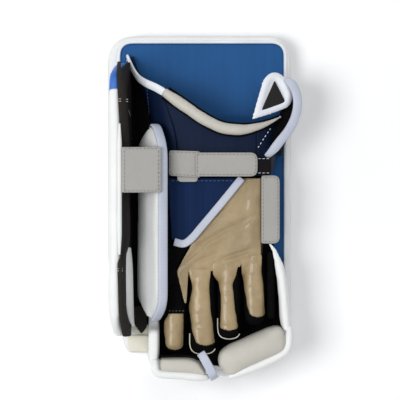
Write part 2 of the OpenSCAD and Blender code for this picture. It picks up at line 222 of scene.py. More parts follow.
def knit(name, color, roughness=0.9, size=1.6, depth=0.2, specular=0.05):
    look = Look(name, color, roughness, specular=specular)
    loops = look.spread(look.cells(size, (1, 0.7, 1)), 0, 1, 0, 0.3)
    # Darker in the hollows between the loops, as their relief: painted shade.
    look.shade(loops, 0.6, 1.35, 0, 1)
    look.shade(look.noise(35, 4), 0.8, 1.2)
    look.relief(loops, depth)
    look.relief(look.noise(60, 4), 0.5)
    return look.done()


def hooks(name, color):
    look = Look(name, color, 0.55)
    tips = look.maths("MULTIPLY", look.ribs(1.3, "X"), look.ribs(1.3, "Y"))
    # Lighter on the raised hook tips and darker between them, as their relief: painted highlight and shade.
    look.shade(tips, 0.5, 2.2, 0, 1)
    look.relief(tips, 0.5)
    return look.done()


def foam(name, color):
    look = Look(name, color, 0.85)
    look.shade(look.noise(40, 5), 0.94, 1.05)
    look.relief(look.cells(0.9), 0.3)
    return look.done()


def plastic(name, color):
    look = Look(name, color, 0.45)
    look.shade(look.noise(25, 3), 0.92, 1.06)
    look.relief(look.noise(500, 2), 0.06)
    return look.done()


LOOKS = {
    "white_leather": leather("white_leather", (0.80, 0.805, 0.79), 0.46, mottle=0.025),
    "blue_leather": leather("blue_leather", (0.025, 0.14, 0.52), 0.38, mottle=0.05),
    "cream_leather": leather("cream_leather", (0.52, 0.50, 0.44), 0.46, mottle=0.035),
    "grey_leather": leather("grey_leather", (0.355, 0.345, 0.32), 0.55, grain=0.9, mottle=0.035),
    "tan_leather": leather("tan_leather", (0.345, 0.25, 0.128), 0.33, mottle=0.12, creases=1.0, coat=0.35),
    "blue_nylon": weave("blue_nylon", (0.008, 0.085, 0.26), 0.5),
    "navy_nylon": weave("navy_nylon", (0.003, 0.010, 0.034), 0.55, streaks=0.12, specular=0.12),
    "charcoal_fabric": weave("charcoal_fabric", (0.022, 0.021, 0.021), 0.85, pitch=1.6, specular=0.15),
    "black_fabric": knit("black_fabric", (0.0035, 0.0035, 0.0038)),
    "black_webbing": weave("black_webbing", (0.020, 0.016, 0.013), 0.72, pitch=1.8, depth=0.25,
                           across="Y", along="Z"),
    "black_elastic": weave("black_elastic", (0.006, 0.005, 0.006), 0.7, pitch=1.9, depth=0.3, specular=0.1),
    "white_binding": tape("white_binding", (0.80, 0.82, 0.86), 0.62),
    "pale_binding": tape("pale_binding", (0.50, 0.53, 0.62), 0.60),
    "hook_tape": hooks("hook_tape", (0.02, 0.02, 0.02)),
    "foam": foam("foam", (0.62, 0.62, 0.58)),
    "stiffener": plastic("stiffener", (0.16, 0.16, 0.17)),
}
# A brighter copy of the cream leather, used on the lower corner flap, its lining and the fingers' cap
# piping: painted light.
CREAM_PAINTED_LIT = leather("cream_leather_painted_lit", (0.70, 0.67, 0.56), 0.48, mottle=0.03)
GAUNTLET_NYLON = weave("gauntlet_nylon", (0.0015, 0.015, 0.066), 0.5, streaks=0.15, specular=0.1)
WEB_TAPE = tape("black_web_tape", (0.022, 0.018, 0.015), 0.7, pitch=2.2, depth=0.3, specular=0.2)
THREADS = {
    "white": tape("white_thread", (0.75, 0.75, 0.73), 0.6, pitch=0.6),
    "cream": tape("cream_thread", (0.30, 0.25, 0.16), 0.6, pitch=0.6),
    "grey": tape("grey_thread", (0.20, 0.19, 0.175), 0.6, pitch=0.6),
    "black": tape("black_thread", (0.010, 0.009, 0.009), 0.6, pitch=0.6),
    "blue": tape("blue_thread", (0.12, 0.19, 0.38), 0.6, pitch=0.6),
}

# ---------------------------------------------------------------- lines and outlines


def smooth_line(points, steps=8):
    """A Catmull-Rom curve through points."""
    last = len(points) - 1
    out = []
    for i in range(last):
        a, b, c, d = (points[max(0, min(i + k, last))] for k in (-1, 0, 1, 2))
        for k in range(steps):
            t = k / steps
            out.append(0.5 * (2 * b + (c - a) * t + (2 * a - 5 * b + 4 * c - d) * t * t
                              + (3 * b - a - 3 * c + d) * t ** 3))
    return out + [points[-1]]


def smooth_route(points, steps=6):
    """A curve through points given in millimetres."""
    return smooth_line(route(*points), steps)


def even_line(points, step, closed=False):
    """The same line with points step millimetres apart."""
    ring = points + [points[0]] if closed else points
    lengths = [0.0]
    for a, b in zip(ring, ring[1:]):
        lengths.append(lengths[-1] + (b - a).length)
    count = max(2, round(lengths[-1] / (step * MM)))
    out, k = [], 0
    for i in range(count if closed else count + 1):
        want = lengths[-1] * i / count
        while k < len(ring) - 2 and lengths[k + 1] < want:
            k += 1
        span = max(lengths[k + 1] - lengths[k], 1e-9)
        out.append(ring[k].lerp(ring[k + 1], min(1, (want - lengths[k]) / span)))
    return out


def border_of(node, normal):
    """The longest border of a CAD node's furthest flat face along normal, anticlockwise."""
    normal = Vector(normal).normalized()
    bm = bmesh.new()
    bm.from_mesh(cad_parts[node].data)
    bmesh.ops.remove_doubles(bm, verts=bm.verts, dist=2e-6)
    facing = [f for f in bm.faces if f.normal.dot(normal) > 0.995]
    reach = max(f.calc_center_median().dot(normal) for f in facing)
    top = [f for f in facing if f.calc_center_median().dot(normal) > reach - 3e-4]
    after = {}
    for face in top:
        for side in face.loops:
            if sum(f in top for f in side.edge.link_faces) == 1:
                after[side.vert] = side.link_loop_next.vert
    loops = []
    while after:
        vert = next(iter(after))
        ring = []
        while vert in after:
            ring.append(vert.co.copy())
            vert = after.pop(vert)
        loops.append(ring)
    bm.free()
    return max(loops, key=lambda ring: sum((a - b).length for a, b in zip(ring, ring[1:])))


def in_plane(loop, normal):
    """At each point of a closed loop, the direction in its plane that points outward."""
    n = len(loop)
    out = []
    for i in range(n):
        along = (loop[(i + 1) % n] - loop[i - 1]).normalized()
        out.append(along.cross(normal).normalized())
    return out


def grown(loop, normal, by):
    """A closed loop moved outward in its plane."""
    return [p + d * by * MM for p, d in zip(loop, in_plane(loop, normal))]


def rounded(corners, z, steps=4):
    """A closed outline at a height, through corners given as x, y and the length each rounding takes."""
    flat = [Vector((x, y, z)) * MM for x, y, cut in corners]
    out = []
    for i, (x, y, cut) in enumerate(corners):
        b = flat[i]
        p = b + (flat[i - 1] - b).normalized() * cut * MM
        q = b + (flat[(i + 1) % len(flat)] - b).normalized() * cut * MM
        for k in range(steps + 1):
            t = k / steps
            out.append(p * (1 - t) ** 2 + b * 2 * t * (1 - t) + q * t ** 2)
    return out


# ---------------------------------------------------------------- mesh makers


def make(name, verts, faces, slot, body=None, nodes=(), uvs=None, look=None, weld=True):
    """A piece with a mesh. slot picks its look from LOOKS unless a look is given."""
    mesh = bpy.data.meshes.new(name)
    mesh.from_pydata([tuple(v) for v in verts], [], faces)
    if uvs:
        layer = mesh.uv_layers.new(name="UVMap")
        for loop in mesh.loops:
            layer.data[loop.index].uv = uvs[loop.vertex_index]
    bm = bmesh.new()
    bm.from_mesh(mesh)
    if weld:
        bmesh.ops.remove_doubles(bm, verts=bm.verts, dist=5e-6)
        bmesh.ops.dissolve_degenerate(bm, edges=bm.edges, dist=1e-6)
    bmesh.ops.recalc_face_normals(bm, faces=bm.faces)
    bm.to_mesh(mesh)
    bm.free()
    mesh.materials.append(look or LOOKS[slot])
    for face in mesh.polygons:
        face.use_smooth = True
    obj = bpy.data.objects.new(name, mesh)
    scene.collection.objects.link(obj)
    if nodes:
        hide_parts(*nodes)
    if body:
        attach(obj, body)
    return obj


def finer(obj, levels=1):
    """Rounds a mesh off by subdivision."""
    made = obj.modifiers.new("finer", "SUBSURF")
    made.levels = made.render_levels = levels
    return obj


def thicker(obj, thickness):
    """Gives a sheet its thickness, behind its face."""
    made = obj.modifiers.new("thickness", "SOLIDIFY")
    made.thickness = thickness * MM
    made.offset = -1
    return obj


def apply_modifiers(obj):
    graph = bpy.context.evaluated_depsgraph_get()
    mesh = bpy.data.meshes.new_from_object(obj.evaluated_get(graph))
    obj.modifiers.clear()
    obj.data = mesh
    return obj


def settled(obj, slot):
    """Applies a piece's modifiers, so that it can be blended."""
    apply_modifiers(obj)
    smooth_shaded(obj, slot)


def ripple(obj, height, size, seed=0, stretch=(1, 1, 1)):
    """Moves a surface in and out by up to height millimetres, in soft folds of the given size."""
    mesh = obj.data
    shift = Vector((seed * 3.7, seed * 1.3, seed * 2.9))
    normals = [v.normal.copy() for v in mesh.vertices]
    for v, n in zip(mesh.vertices, normals):
        place = Vector(v.co[i] * stretch[i] / (size * MM) for i in range(3)) + shift
        v.co += n * height * MM * (noise.noise(place) + 0.5 * noise.noise(place * 2.1))
    mesh.update()
    return obj


def oval(width, thick, count=12, power=2.0):
    """A rounded section, as (across, out) pairs."""
    out = []
    for i in range(count):
        a = math.tau * i / count
        c, s = math.cos(a), math.sin(a)
        out.append((width / 2 * math.copysign(abs(c) ** (2 / power), c),
                    thick / 2 * math.copysign(abs(s) ** (2 / power), s)))
    return out


def sheet_faces(rows, n):
    """The faces between rows of n points each."""
    return [(r * n + k, r * n + k + 1, (r + 1) * n + k + 1, (r + 1) * n + k)
            for r in range(rows - 1) for k in range(n - 1)]


def tube_faces(rings, n, closed=False, ends=True):
    """The faces between rings of n points each. A closed tube runs back into its first ring, and
    any other has its ends covered unless ends is False."""
    faces = []
    for r in range(rings if closed else rings - 1):
        here, after = r * n, (r + 1) % rings * n
        faces += [(here + k, here + (k + 1) % n, after + (k + 1) % n, after + k) for k in range(n)]
    if ends and not closed:
        faces.append(tuple(range(n)))
        faces.append(tuple(reversed(range((rings - 1) * n, rings * n))))
    return faces


def sweep(name, line, section, slot, body=None, nodes=(), out=UP, closed=False, size=None, look=None):
    """A section carried along a line. out is the section's outward direction, one or one a point,
    and size(t) scales it from t = 0 at the line's start to 1 at its end."""
    n, m = len(line), len(section)
    verts, uvs = [], []
    length = 0.0
    for i, p in enumerate(line):
        before = line[i - 1] if closed or i else line[0]
        after = line[(i + 1) % n] if closed or i < n - 1 else line[-1]
        along = (after - before).normalized()
        up = out[i] if isinstance(out, (list, tuple)) else out
        up = (up - along * along.dot(up)).normalized()
        side = along.cross(up)
        scale = size(i / (n - 1)) if size else 1
        length += (p - line[i - 1]).length if i else 0
        for k, (a, b) in enumerate(section):
            verts.append(p + (side * a + up * b) * scale * MM)
            uvs.append((length, k / m * 0.01))
    return make(name, verts, tube_faces(n, m, closed), slot, body, nodes, uvs, look, weld=False)


# The mesh of each body's stitches, by thread, and how far a stitch's middle stands off its line
STITCHES = {}
STITCH_LIFT = 0.15


def stitch(line, out, body, thread="white", long=2.6, gap=1.5, wide=0.6, closed=False):
    """A row of stitches along a line, each a small raised bar that dips into the cloth at its ends."""
    verts, faces = STITCHES.setdefault((body, thread), ([], []))
    dense = even_line(line, 0.5, closed)
    total = len(dense) * 0.5
    count = max(1, int(total / (long + gap)))
    outs = out if isinstance(out, (list, tuple)) else None
    for i in range(count):
        start = int(i * len(dense) / count)
        end = min(len(dense) - 1, start + int(long / 0.5))
        a, b = dense[start], dense[end]
        if (b - a).length < 0.5 * MM:
            continue
        up = outs[min(len(outs) - 1, int(start / len(dense) * len(outs)))] if outs else out
        along = (b - a).normalized()
        up = (up - along * along.dot(up)).normalized()
        side = along.cross(up)
        base = len(verts)
        for t, r in ((0, 0.35), (0.2, 0.9), (0.5, 1.0), (0.8, 0.9), (1, 0.35)):
            centre = a.lerp(b, t) + up * MM * (STITCH_LIFT - wide * 0.5 * (1 - r))
            for k in range(6):
                w = math.tau * k / 6
                verts.append(centre + (side * math.cos(w) + up * math.sin(w)) * wide / 2 * r * MM)
        for ring in range(4):
            for k in range(6):
                p, q = base + ring * 6, (k + 1) % 6
                faces.append((p + k, p + q, p + 6 + q, p + 6 + k))
        faces.append(tuple(base + k for k in range(6)))
        faces.append(tuple(base + 24 + k for k in reversed(range(6))))


def make_stitches():
    """Joins each body's stitches of one thread into one piece."""
    slots = {"white": "white_binding", "cream": "cream_leather", "grey": "grey_leather",
             "black": "black_webbing", "blue": "pale_binding"}
    for (body, thread), (verts, faces) in STITCHES.items():
        make(f"{thread}_stitches_{body}", verts, faces, slots[thread], body, look=THREADS[thread],
             weld=False)


def spine_of(loop, normal):
    """The middle line of a long outline, as two points."""
    centre = sum(loop, Vector()) / len(loop)
    long = max((p - centre for p in loop), key=lambda v: v.length).normalized()
    wide = long.cross(normal)
    lows = min((p - centre).dot(long) for p in loop)
    highs = max((p - centre).dot(long) for p in loop)
    half = max(abs((p - centre).dot(wide)) for p in loop)
    a, b = lows + half, highs - half
    if a > b:
        a = b = (a + b) / 2
    return centre + long * a, centre + long * b


# Rows of faces between a pad's rounded rim and its middle
PAD_ROWS = 7


def pad(name, loop, normal, thick, slot, body, nodes, edge, crown, back, step=4.0, look=None):
    """A stuffed panel: its front border is loop, it is thick deep, its rim is rounded by edge,
    and its front and back rise by crown and back towards the middle."""
    normal = Vector(normal).normalized()
    ring = even_line(loop, step, closed=True)
    edge = min(edge, thick / 2)
    a, b = spine_of(ring, normal)
    feet = []
    for p in ring:
        t = intersect_point_line(p, a, b)[1] if (a - b).length > 1e-6 else 0
        feet.append(a.lerp(b, max(0, min(1, t))))
    inner = min((p - f).length for p, f in zip(ring, feet)) / MM
    near = [edge * x for x in (0, 0.12, 0.4, 0.75, 1.1) if edge * x < inner * 0.8]
    rows = []
    for side in (1, -1):
        for d in near:
            rows.append((side, d, None))
        for k in range(1, PAD_ROWS + 1):
            rows.append((side, near[-1], k / PAD_ROWS))
    verts = []
    for side, d, share in rows:
        for p, f in zip(ring, feet):
            span = (p - f).length / MM
            far = d if share is None else d + (span - d) * share
            dip = edge - math.sqrt(max(0, edge ** 2 - max(0, edge - far) ** 2))
            u = min(1, far / max(span, 1e-6))
            rise = (crown if side > 0 else back) * (1 - (1 - u) ** 2.4)
            z = side * (thick / 2 - dip + rise)
            verts.append(p.lerp(f, u) + normal * (z - thick / 2) * MM)
    n, half = len(ring), len(rows) // 2
    faces = []
    for s in range(2):
        for r in range(half - 1):
            for i in range(n):
                p, q = (s * half + r) * n, (i + 1) % n
                quad = (p + i, p + q, p + n + q, p + n + i)
                faces.append(quad if s == 0 else quad[::-1])
    for i in range(n):
        q = (i + 1) % n
        faces.append((half * n + i, half * n + q, q, i))
    return make(name, verts, faces, slot, body, nodes, look=look)


def height_sheet(name, loop, thick, slot, body, nodes, height, step, look=None):
    """A flat-cut sheet that lies face up: its top follows height(x, y), in millimetres above loop."""
    ring = even_line(loop, step, closed=True)
    bm = bmesh.new()
    bm.faces.new([bm.verts.new(p) for p in ring])
    low = Vector(min(p[i] for p in ring) for i in range(3))
    high = Vector(max(p[i] for p in ring) for i in range(3))
    for axis in range(2):
        count = max(1, int((high[axis] - low[axis]) / (step * MM)))
        for i in range(1, count):
            place = low.copy()
            place[axis] += (high[axis] - low[axis]) * i / count
            direction = Vector((0, 0, 0))
            direction[axis] = 1
            bmesh.ops.bisect_plane(bm, geom=bm.verts[:] + bm.edges[:] + bm.faces[:],
                                   plane_co=place, plane_no=direction)
    bmesh.ops.remove_doubles(bm, verts=bm.verts, dist=2e-4)
    verts = [v.co.copy() for v in bm.verts]
    bm.verts.index_update()
    faces = [tuple(v.index for v in f.verts) for f in bm.faces]
    bm.free()
    if height:
        for v in verts:
            v.z += height(v.x / MM, v.y / MM) * MM
    obj = make(name, verts, faces, slot, body, nodes, look=look)
    if obj.data.polygons[0].normal.z < 0:
        obj.data.flip_normals()
    thicker(obj, thick)
    return obj


def inside_by(loop):
    """A function of x and y that gives the distance to the border, in millimetres."""
    ring = [(p.x / MM, p.y / MM) for p in even_line(loop, 3, closed=True)]

    def distance(x, y):
        return min(math.hypot(x - a, y - b) for a, b in ring)
    return distance


def main_normal(node, near):
    """The normal of a CAD node's largest flat face among those that look roughly along near."""
    sizes = {}
    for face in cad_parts[node].data.polygons:
        if face.normal.dot(Vector(near)) > 0.7:
            key = tuple(round(x, 3) for x in face.normal)
            sizes[key] = sizes.get(key, 0) + face.area
    return Vector(max(sizes, key=sizes.get)).normalized()


def smooth_shaded(obj, slot):
    """Smooth shading, and its slot's look where remeshing has taken the look away."""
    if not obj.data.materials:
        obj.data.materials.append(LOOKS[slot])
    for face in obj.data.polygons:
        face.use_smooth = True
    return obj


def inflate(obj, slot, voxel, cap, soften=3):
    """Blows a closed shape up as sewn cloth would be: remesh, pressure, and a cap on the travel."""
    made = obj.modifiers.new("remesh", "REMESH")
    made.mode = "VOXEL"
    made.voxel_size = voxel * MM
    apply_modifiers(obj)
    for v, n in zip(obj.data.vertices, [v.normal.copy() for v in obj.data.vertices]):
        v.co -= n * cap / 2 * MM
    start = [v.co.copy() for v in obj.data.vertices]
    cloth = obj.modifiers.new("filling", "CLOTH")
    cloth.settings.quality = 4
    cloth.settings.use_pressure = True
    cloth.settings.uniform_pressure_force = 4
    cloth.settings.effector_weights.gravity = 0
    cloth.collision_settings.use_collision = False
    for number in range(1, 21):
        scene.frame_set(number)
    apply_modifiers(obj)
    scene.frame_set(1)
    for v, home in zip(obj.data.vertices, start):
        step = v.co - home
        if step.length > cap * MM:
            v.co = home + step.normalized() * cap * MM
    bm = bmesh.new()
    bm.from_mesh(obj.data)
    for _ in range(soften):
        bmesh.ops.smooth_vert(bm, verts=bm.verts, factor=0.5, use_axis_x=True, use_axis_y=True,
                              use_axis_z=True)
    bm.to_mesh(obj.data)
    bm.free()
    smooth_shaded(obj, slot)
    return finer(obj)


def stuffed(obj, slot, voxel, cap, soften=3):
    inflate(obj, slot, voxel, cap, soften)
    return obj


def cad_copy(name, node, slot, body):
    """A new object with a CAD node's shape, to be softened."""
    bm = bmesh.new()
    bm.from_mesh(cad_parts[node].data)
    bmesh.ops.remove_doubles(bm, verts=bm.verts, dist=5e-6)
    mesh = bpy.data.meshes.new(name)
    bm.to_mesh(mesh)
    bm.free()
    mesh.materials.append(LOOKS[slot])
    obj = bpy.data.objects.new(name, mesh)
    scene.collection.objects.link(obj)
    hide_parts(node)
    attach(obj, body)
    return obj


def cut_off(obj, place, normal, name, slot, body, node):
    """Cuts an object in two. The part beyond place becomes a new piece, and both are closed."""
    apply_modifiers(obj)
    made = bpy.data.objects.new(name, obj.data.copy())
    scene.collection.objects.link(made)
    for piece, clear in ((obj, {"clear_outer": True}), (made, {"clear_inner": True})):
        bm = bmesh.new()
        bm.from_mesh(piece.data)
        found = bmesh.ops.bisect_plane(bm, geom=bm.verts[:] + bm.edges[:] + bm.faces[:],
                                       plane_co=place, plane_no=normal, **clear)
        rim = [e for e in found["geom_cut"] if isinstance(e, bmesh.types.BMEdge)]
        bmesh.ops.holes_fill(bm, edges=rim)
        bm.to_mesh(piece.data)
        bm.free()
    made.data.materials.clear()
    smooth_shaded(made, slot)
    smooth_shaded(obj, slot)
    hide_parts(node)
    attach(made, body)
    return made


def section_ring(obj, place, normal):
    """The ring in which a plane cuts an object, in order."""
    bm = bmesh.new()
    bm.from_mesh(obj.data)
    found = bmesh.ops.bisect_plane(bm, geom=bm.verts[:] + bm.edges[:] + bm.faces[:],
                                   plane_co=place, plane_no=normal)
    edges = [e for e in found["geom_cut"] if isinstance(e, bmesh.types.BMEdge)]
    near = {}
    for edge in edges:
        a, b = edge.verts
        near.setdefault(a, []).append(b)
        near.setdefault(b, []).append(a)
    vert = edges[0].verts[0]
    ring, seen = [], set()
    while vert and vert not in seen:
        seen.add(vert)
        ring.append(vert.co.copy())
        vert = next((v for v in near[vert] if v not in seen), None)
    bm.free()
    return ring


def plate(name, node, slot, body, edge, crown, look=None):
    """A thin sewn layer with soft edges in the place of a flat CAD node."""
    low, high = box_mm(node)
    return finer(pad(name, border_of(node, UP), UP, high.z - low.z, slot, body, (node,), edge, crown,
                     crown * 0.2, 2.5, look))


def border_stitch(node, body, inset, lift):
    """A grey row of stitches round a flat CAD node, inset from its border."""
    loop = grown(even_line(border_of(node, UP), 1.5, closed=True), UP, -inset)
    stitch([p + UP * lift * MM for p in loop], UP, body, "grey", closed=True)


def towards(direction):
    """The same direction everywhere, for facing()."""
    return lambda place: direction


def facing(obj, outward):
    """Turns an open surface's normals to the side that outward, a function of place, points to."""
    total = sum(f.normal.dot(outward(f.center)) * f.area for f in obj.data.polygons)
    if total < 0:
        obj.data.flip_normals()
    return obj


def grid_piece(name, grid, slot, body, nodes, outward, thick=0, levels=1):
    """A sheet through a grid of points, facing the way outward points, and thick if that isn't 0."""
    faces = sheet_faces(len(grid), len(grid[0]))
    obj = make(name, [p for row in grid for p in row], faces, slot, body, nodes)
    facing(obj, outward)
    if thick:
        thicker(obj, thick)
    return finer(obj, levels)


# ---------------------------------------------------------------- camera, light and floor

EYE = mm(0.8, 7.2, 2400)


def set_stage():
    """The camera straight above, a soft studio and a pale floor."""
    camera = bpy.data.objects.new("camera", bpy.data.cameras.new("camera"))
    camera.location = EYE
    camera.data.sensor_width = 36
    camera.data.lens = 194.3
    camera.data.clip_end = 20
    scene.collection.objects.link(camera)
    scene.camera = camera

    world = bpy.data.worlds.new("studio")
    world.use_nodes = True
    world.node_tree.nodes["Background"].inputs["Color"].default_value = (0.93, 0.96, 1.0, 1)
    world.node_tree.nodes["Background"].inputs["Strength"].default_value = 0.44
    scene.world = world
    for name, place, size, power in (
            ("key", (-1.25, -0.1, 2.1), 1.2, 34), ("fill", (0.7, 1.1, 2.2), 1.6, 14),
            ("low", (0.1, -1.5, 1.4), 1.6, 4)):
        light = bpy.data.lights.new(name, "AREA")
        light.size = size
        light.energy = power
        lamp = bpy.data.objects.new(name, light)
        lamp.location = place
        lamp.rotation_euler = (-Vector(place)).to_track_quat("-Z", "Y").to_euler()
        scene.collection.objects.link(lamp)
    scene.view_settings.view_transform = "Standard"

    look = Look("floor", (0.97, 0.97, 0.97), 0.9)
    look.shade(look.noise(3, 2), 0.99, 1.01)
    look.relief(look.noise(300, 2), 0.02)
    bm = bmesh.new()
    bmesh.ops.create_grid(bm, x_segments=8, y_segments=8, size=4)
    mesh = bpy.data.meshes.new("floor")
    bm.to_mesh(mesh)
    bm.free()
    mesh.materials.append(look.done())
    floor = bpy.data.objects.new("floor", mesh)
    floor.location.z = -0.0005
    scene.collection.objects.link(floor)


# ---------------------------------------------------------------- board

def nearest_on(ring, point):
    """The place on a closed line that is nearest to a point."""
    feet = []
    for a, b in zip(ring, ring[1:] + ring[:1]):
        t = intersect_point_line(point, a, b)[1]
        feet.append(a.lerp(b, max(0, min(1, t))))
    return min(feet, key=lambda foot: (foot - point).length)


# The board's side, as distance in from its border and height, from under the front rim to the back
BOARD_RIM = [(6, 0.9), (3.4, 0.7), (1.8, 0.1), (0.6, 0.9), (0, 2.8), (-0.2, 6), (0.1, 10), (-0.2, 14.5),
             (0, 18), (0.5, 20.4), (1.8, 22.0), (3.6, 22.8)]
# Its back, as the share of the way from the border to the blue panel and height
BOARD_SHOULDER = [(0.5, 23.2), (0.72, 22.6), (0.82, 21.8), (1.0, 21.7)]
BOARD_PIPING_Z = 1.3
BOARD_SEAM_Z = 11.2


def at_height(line, z):
    return [Vector((p.x, p.y, z * MM)) for p in line]


def board():
    """The board's wrapped edge and seams, and the blue panel on its back with its binding."""
    outer = even_line(border_of("board_edge_wrap", UP), 4, closed=True)
    panel = grown(border_of("board_back_panel", UP), UP, 1.2)
    inner = [nearest_on(panel, p) for p in outer]
    rows = [at_height(grown(outer, UP, -inward), z) for inward, z in BOARD_RIM]
    rows += [at_height([p.lerp(q, share) for p, q in zip(outer, inner)], z) for share, z in BOARD_SHOULDER]
    faces = tube_faces(len(rows), len(outer), ends=False)
    edge = make("board_edge", [p for row in rows for p in row], faces, "white_leather", "board",
                ("board_edge_wrap",))
    half = box_mm("board_edge_wrap")[1].z / 2 * MM
    facing(edge, lambda c: Vector((c.x, c.y * 0.5, c.z - half)))
    ripple(edge, 0.45, 34, 1)
    finer(edge)

    bottom = at_height(grown(outer, UP, -2.6), BOARD_PIPING_Z)
    sweep("board_front_piping", even_line(bottom, 4, True), oval(1.8, 1.8, 8), "white_binding", "board",
          closed=True)
    seam = at_height(grown(outer, UP, 0.1), BOARD_SEAM_Z)
    sweep("board_edge_seam", even_line(seam, 4, True), oval(0.9, 0.9, 6), "white_binding", "board",
          closed=True, look=THREADS["white"])

    low, high = box_mm("finger_backing")
    cuff_end = box_mm("glove_back_pad")[1].y
    border = inside_by(panel)

    def puff(x, y):
        """The panel is stuffed, and pressed flat under the glove."""
        clear = min(1, border(x, y) / 22)
        under = low.x - 16 < x < high.x + 16 and low.y - 16 < y < cuff_end + 22
        rise, waves = (0, 0.1) if under else (0.9, 0.35)
        wave = noise.noise(Vector((x / 26, y / 70, 0))) + 0.5 * noise.noise(Vector((x / 11, y / 40, 3)))
        return clear ** 0.6 * (rise + waves * wave)

    sheet = height_sheet("back_panel", panel, 1.2, "blue_nylon", "board", ("board_back_panel",), puff, 4)
    finer(sheet)

    low, high = box_mm("board_binding")
    middle = [Vector((p.x, p.y, (high.z - 0.7) * MM)) for p in grown(panel, UP, 1.5)]
    line = even_line(middle, 3, True)
    sweep("panel_binding", line, oval(3.6, high.z - low.z, 10, 2.8), "white_binding", "board",
          ("board_binding",), closed=True)
    stitch([p + mm(0, 0, 1.25) - d * 0.9 * MM for p, d in zip(line, in_plane(line, UP))], UP, "board",
           closed=True, wide=0.5)


# The black linings on the panel, one between the sidewall and the thumb guard and one under the
# fingertips: corners with their rounding, cut size and cut area, and their height. The first is black cloth
# that also stands for the shade in the gap there: partly painted shade.
LININGS = {
    "side_lining_and_shade": ([(-79, 98, 4), (-56, 98, 4), (-56, -130, 2), (-79, -130, 2)], (0.023, 0.228), 0.0052),
    "fingertip_lining": ([(62, -90, 2), (62, -36, 2), (80, -36, 4), (88, -62, 6), (92, -132, 4),
                          (40, -176, 4), (-10, -176, 4), (-47, -168, 4), (-47, -90, 4)],
                         (0.139, 0.140), 0.0112),
}
LINING_Z = 23.6
CORNER_LINING = [(-80, -129, 2), (-55.5, -129, 1), (-55.5, -146, 1), (-79, -146, 2)]
CORNER_LINING_Z = 24.3


def linings():
    """The black cloth on the panel. The piece by the sidewall is partly painted shade."""
    for name, (corners, size, area) in LININGS.items():
        sheet = height_sheet(name, rounded(corners, LINING_Z), 0.8, "black_fabric", "board", (),
                             lambda x, y: 0.5 * noise.noise(Vector((x / 14, y / 20, 2))), 4)
        finer(sheet)


def corner_and_tab():
    """The leather flap at the board's lower left corner and the thumb guard's webbing tab."""
    # The flap and its lining use the brighter copy of the cream leather: painted light.
    plate("lower_corner_flap", "lower_corner", "cream_leather", "board", 1.6, 1.0, CREAM_PAINTED_LIT)
    finer(height_sheet("lower_corner_lining", rounded(CORNER_LINING, CORNER_LINING_Z), 0.8,
                       "cream_leather", "board", (), None, 4, CREAM_PAINTED_LIT))
    # The black tab reaches over the gap beside the thumb guard and also stands for the shade there: partly
    # painted shade.
    plate("webbing_tab_and_shade", "thumb_guard_tab", "black_webbing", "board", 0.9, 0.2)


# ---------------------------------------------------------------- finger protection

def loft(name, rings, slot, body, nodes):
    """A closed form through rings of points."""
    faces = tube_faces(len(rings), len(rings[0]))
    return make(name, [p for ring in rings for p in ring], faces, slot, body, nodes)


def ribbon(name, left, right, thick, slot, body, nodes, belly, lift, look=None):
    """A strip between two rails, thick millimetres through, with its length along u. Its middle
    stands belly millimetres out of its plane, towards lift."""
    across = 4
    verts, uvs, length = [], [], 0.0
    for i, (a, b) in enumerate(zip(left, right)):
        if i:
            length += ((a + b) / 2 - (left[i - 1] + right[i - 1]) / 2).length
        for k in range(across + 1):
            t = k / across
            verts.append(a.lerp(b, t) + lift * belly * math.sin(math.pi * t) * MM)
            uvs.append((length, t * (a - b).length))
    faces = sheet_faces(len(left), across + 1)
    obj = make(name, verts, faces, slot, body, nodes, uvs, look, weld=False)
    facing(obj, towards(lift))
    thicker(obj, thick)
    return finer(obj)


def block(name, node, edge, crown, seed):
    """A tall block of cream leather, stuffed."""
    low, high = box_mm(node)
    obj = pad(name, border_of(node, UP), UP, high.z - low.z, "cream_leather", "board", (node,), edge,
              crown, 0.2, 3.5)
    stuffed(obj, "cream_leather", 3.5, 1.6)
    ripple(obj, 0.35, 26, seed)


# The side guard's inner and outer edges: x inside, x outside, y and the height of its foot
SIDE_GUARD = [
    (72.5, 77.5, -38.5, 61.8), (76.5, 84, -46.5, 61.8), (79.5, 88.5, -57, 61.8), (81.5, 91, -66, 30),
    (84.1, 93.8, -79, 25), (86.5, 96.5, -101, 25), (88, 98.6, -120, 25), (90, 99.6, -136, 25),
]
# The rolled rims outside the fingertip guards: their line, and how far it lies below the guards' top
GUARD_RIMS = {
    "left_guard_rim": ([(-47.5, -164), (-47.5, -176), (-42, -181), (-20, -182.5), (0, -184.4),
                        (11, -185)], 8),
    "right_guard_rim": ([(31, -184.5), (57, -175), (80, -165), (92.5, -157.5), (97, -148),
                         (97.5, -128)], 9),
}
# The hem inside the left guard and the strip that ties the guards, with z above the guards' top
GUARD_LIP = [(-42, -161.8, 0), (-25, -161.2, 1), (-9, -161.8, 1), (-1, -164.8, 0)]
GUARD_TIE = [(1.5, -158, -3), (5, -163.5, 0.6), (11, -174, 1.6), (14.5, -181.5, 1.0), (17, -186, -7)]


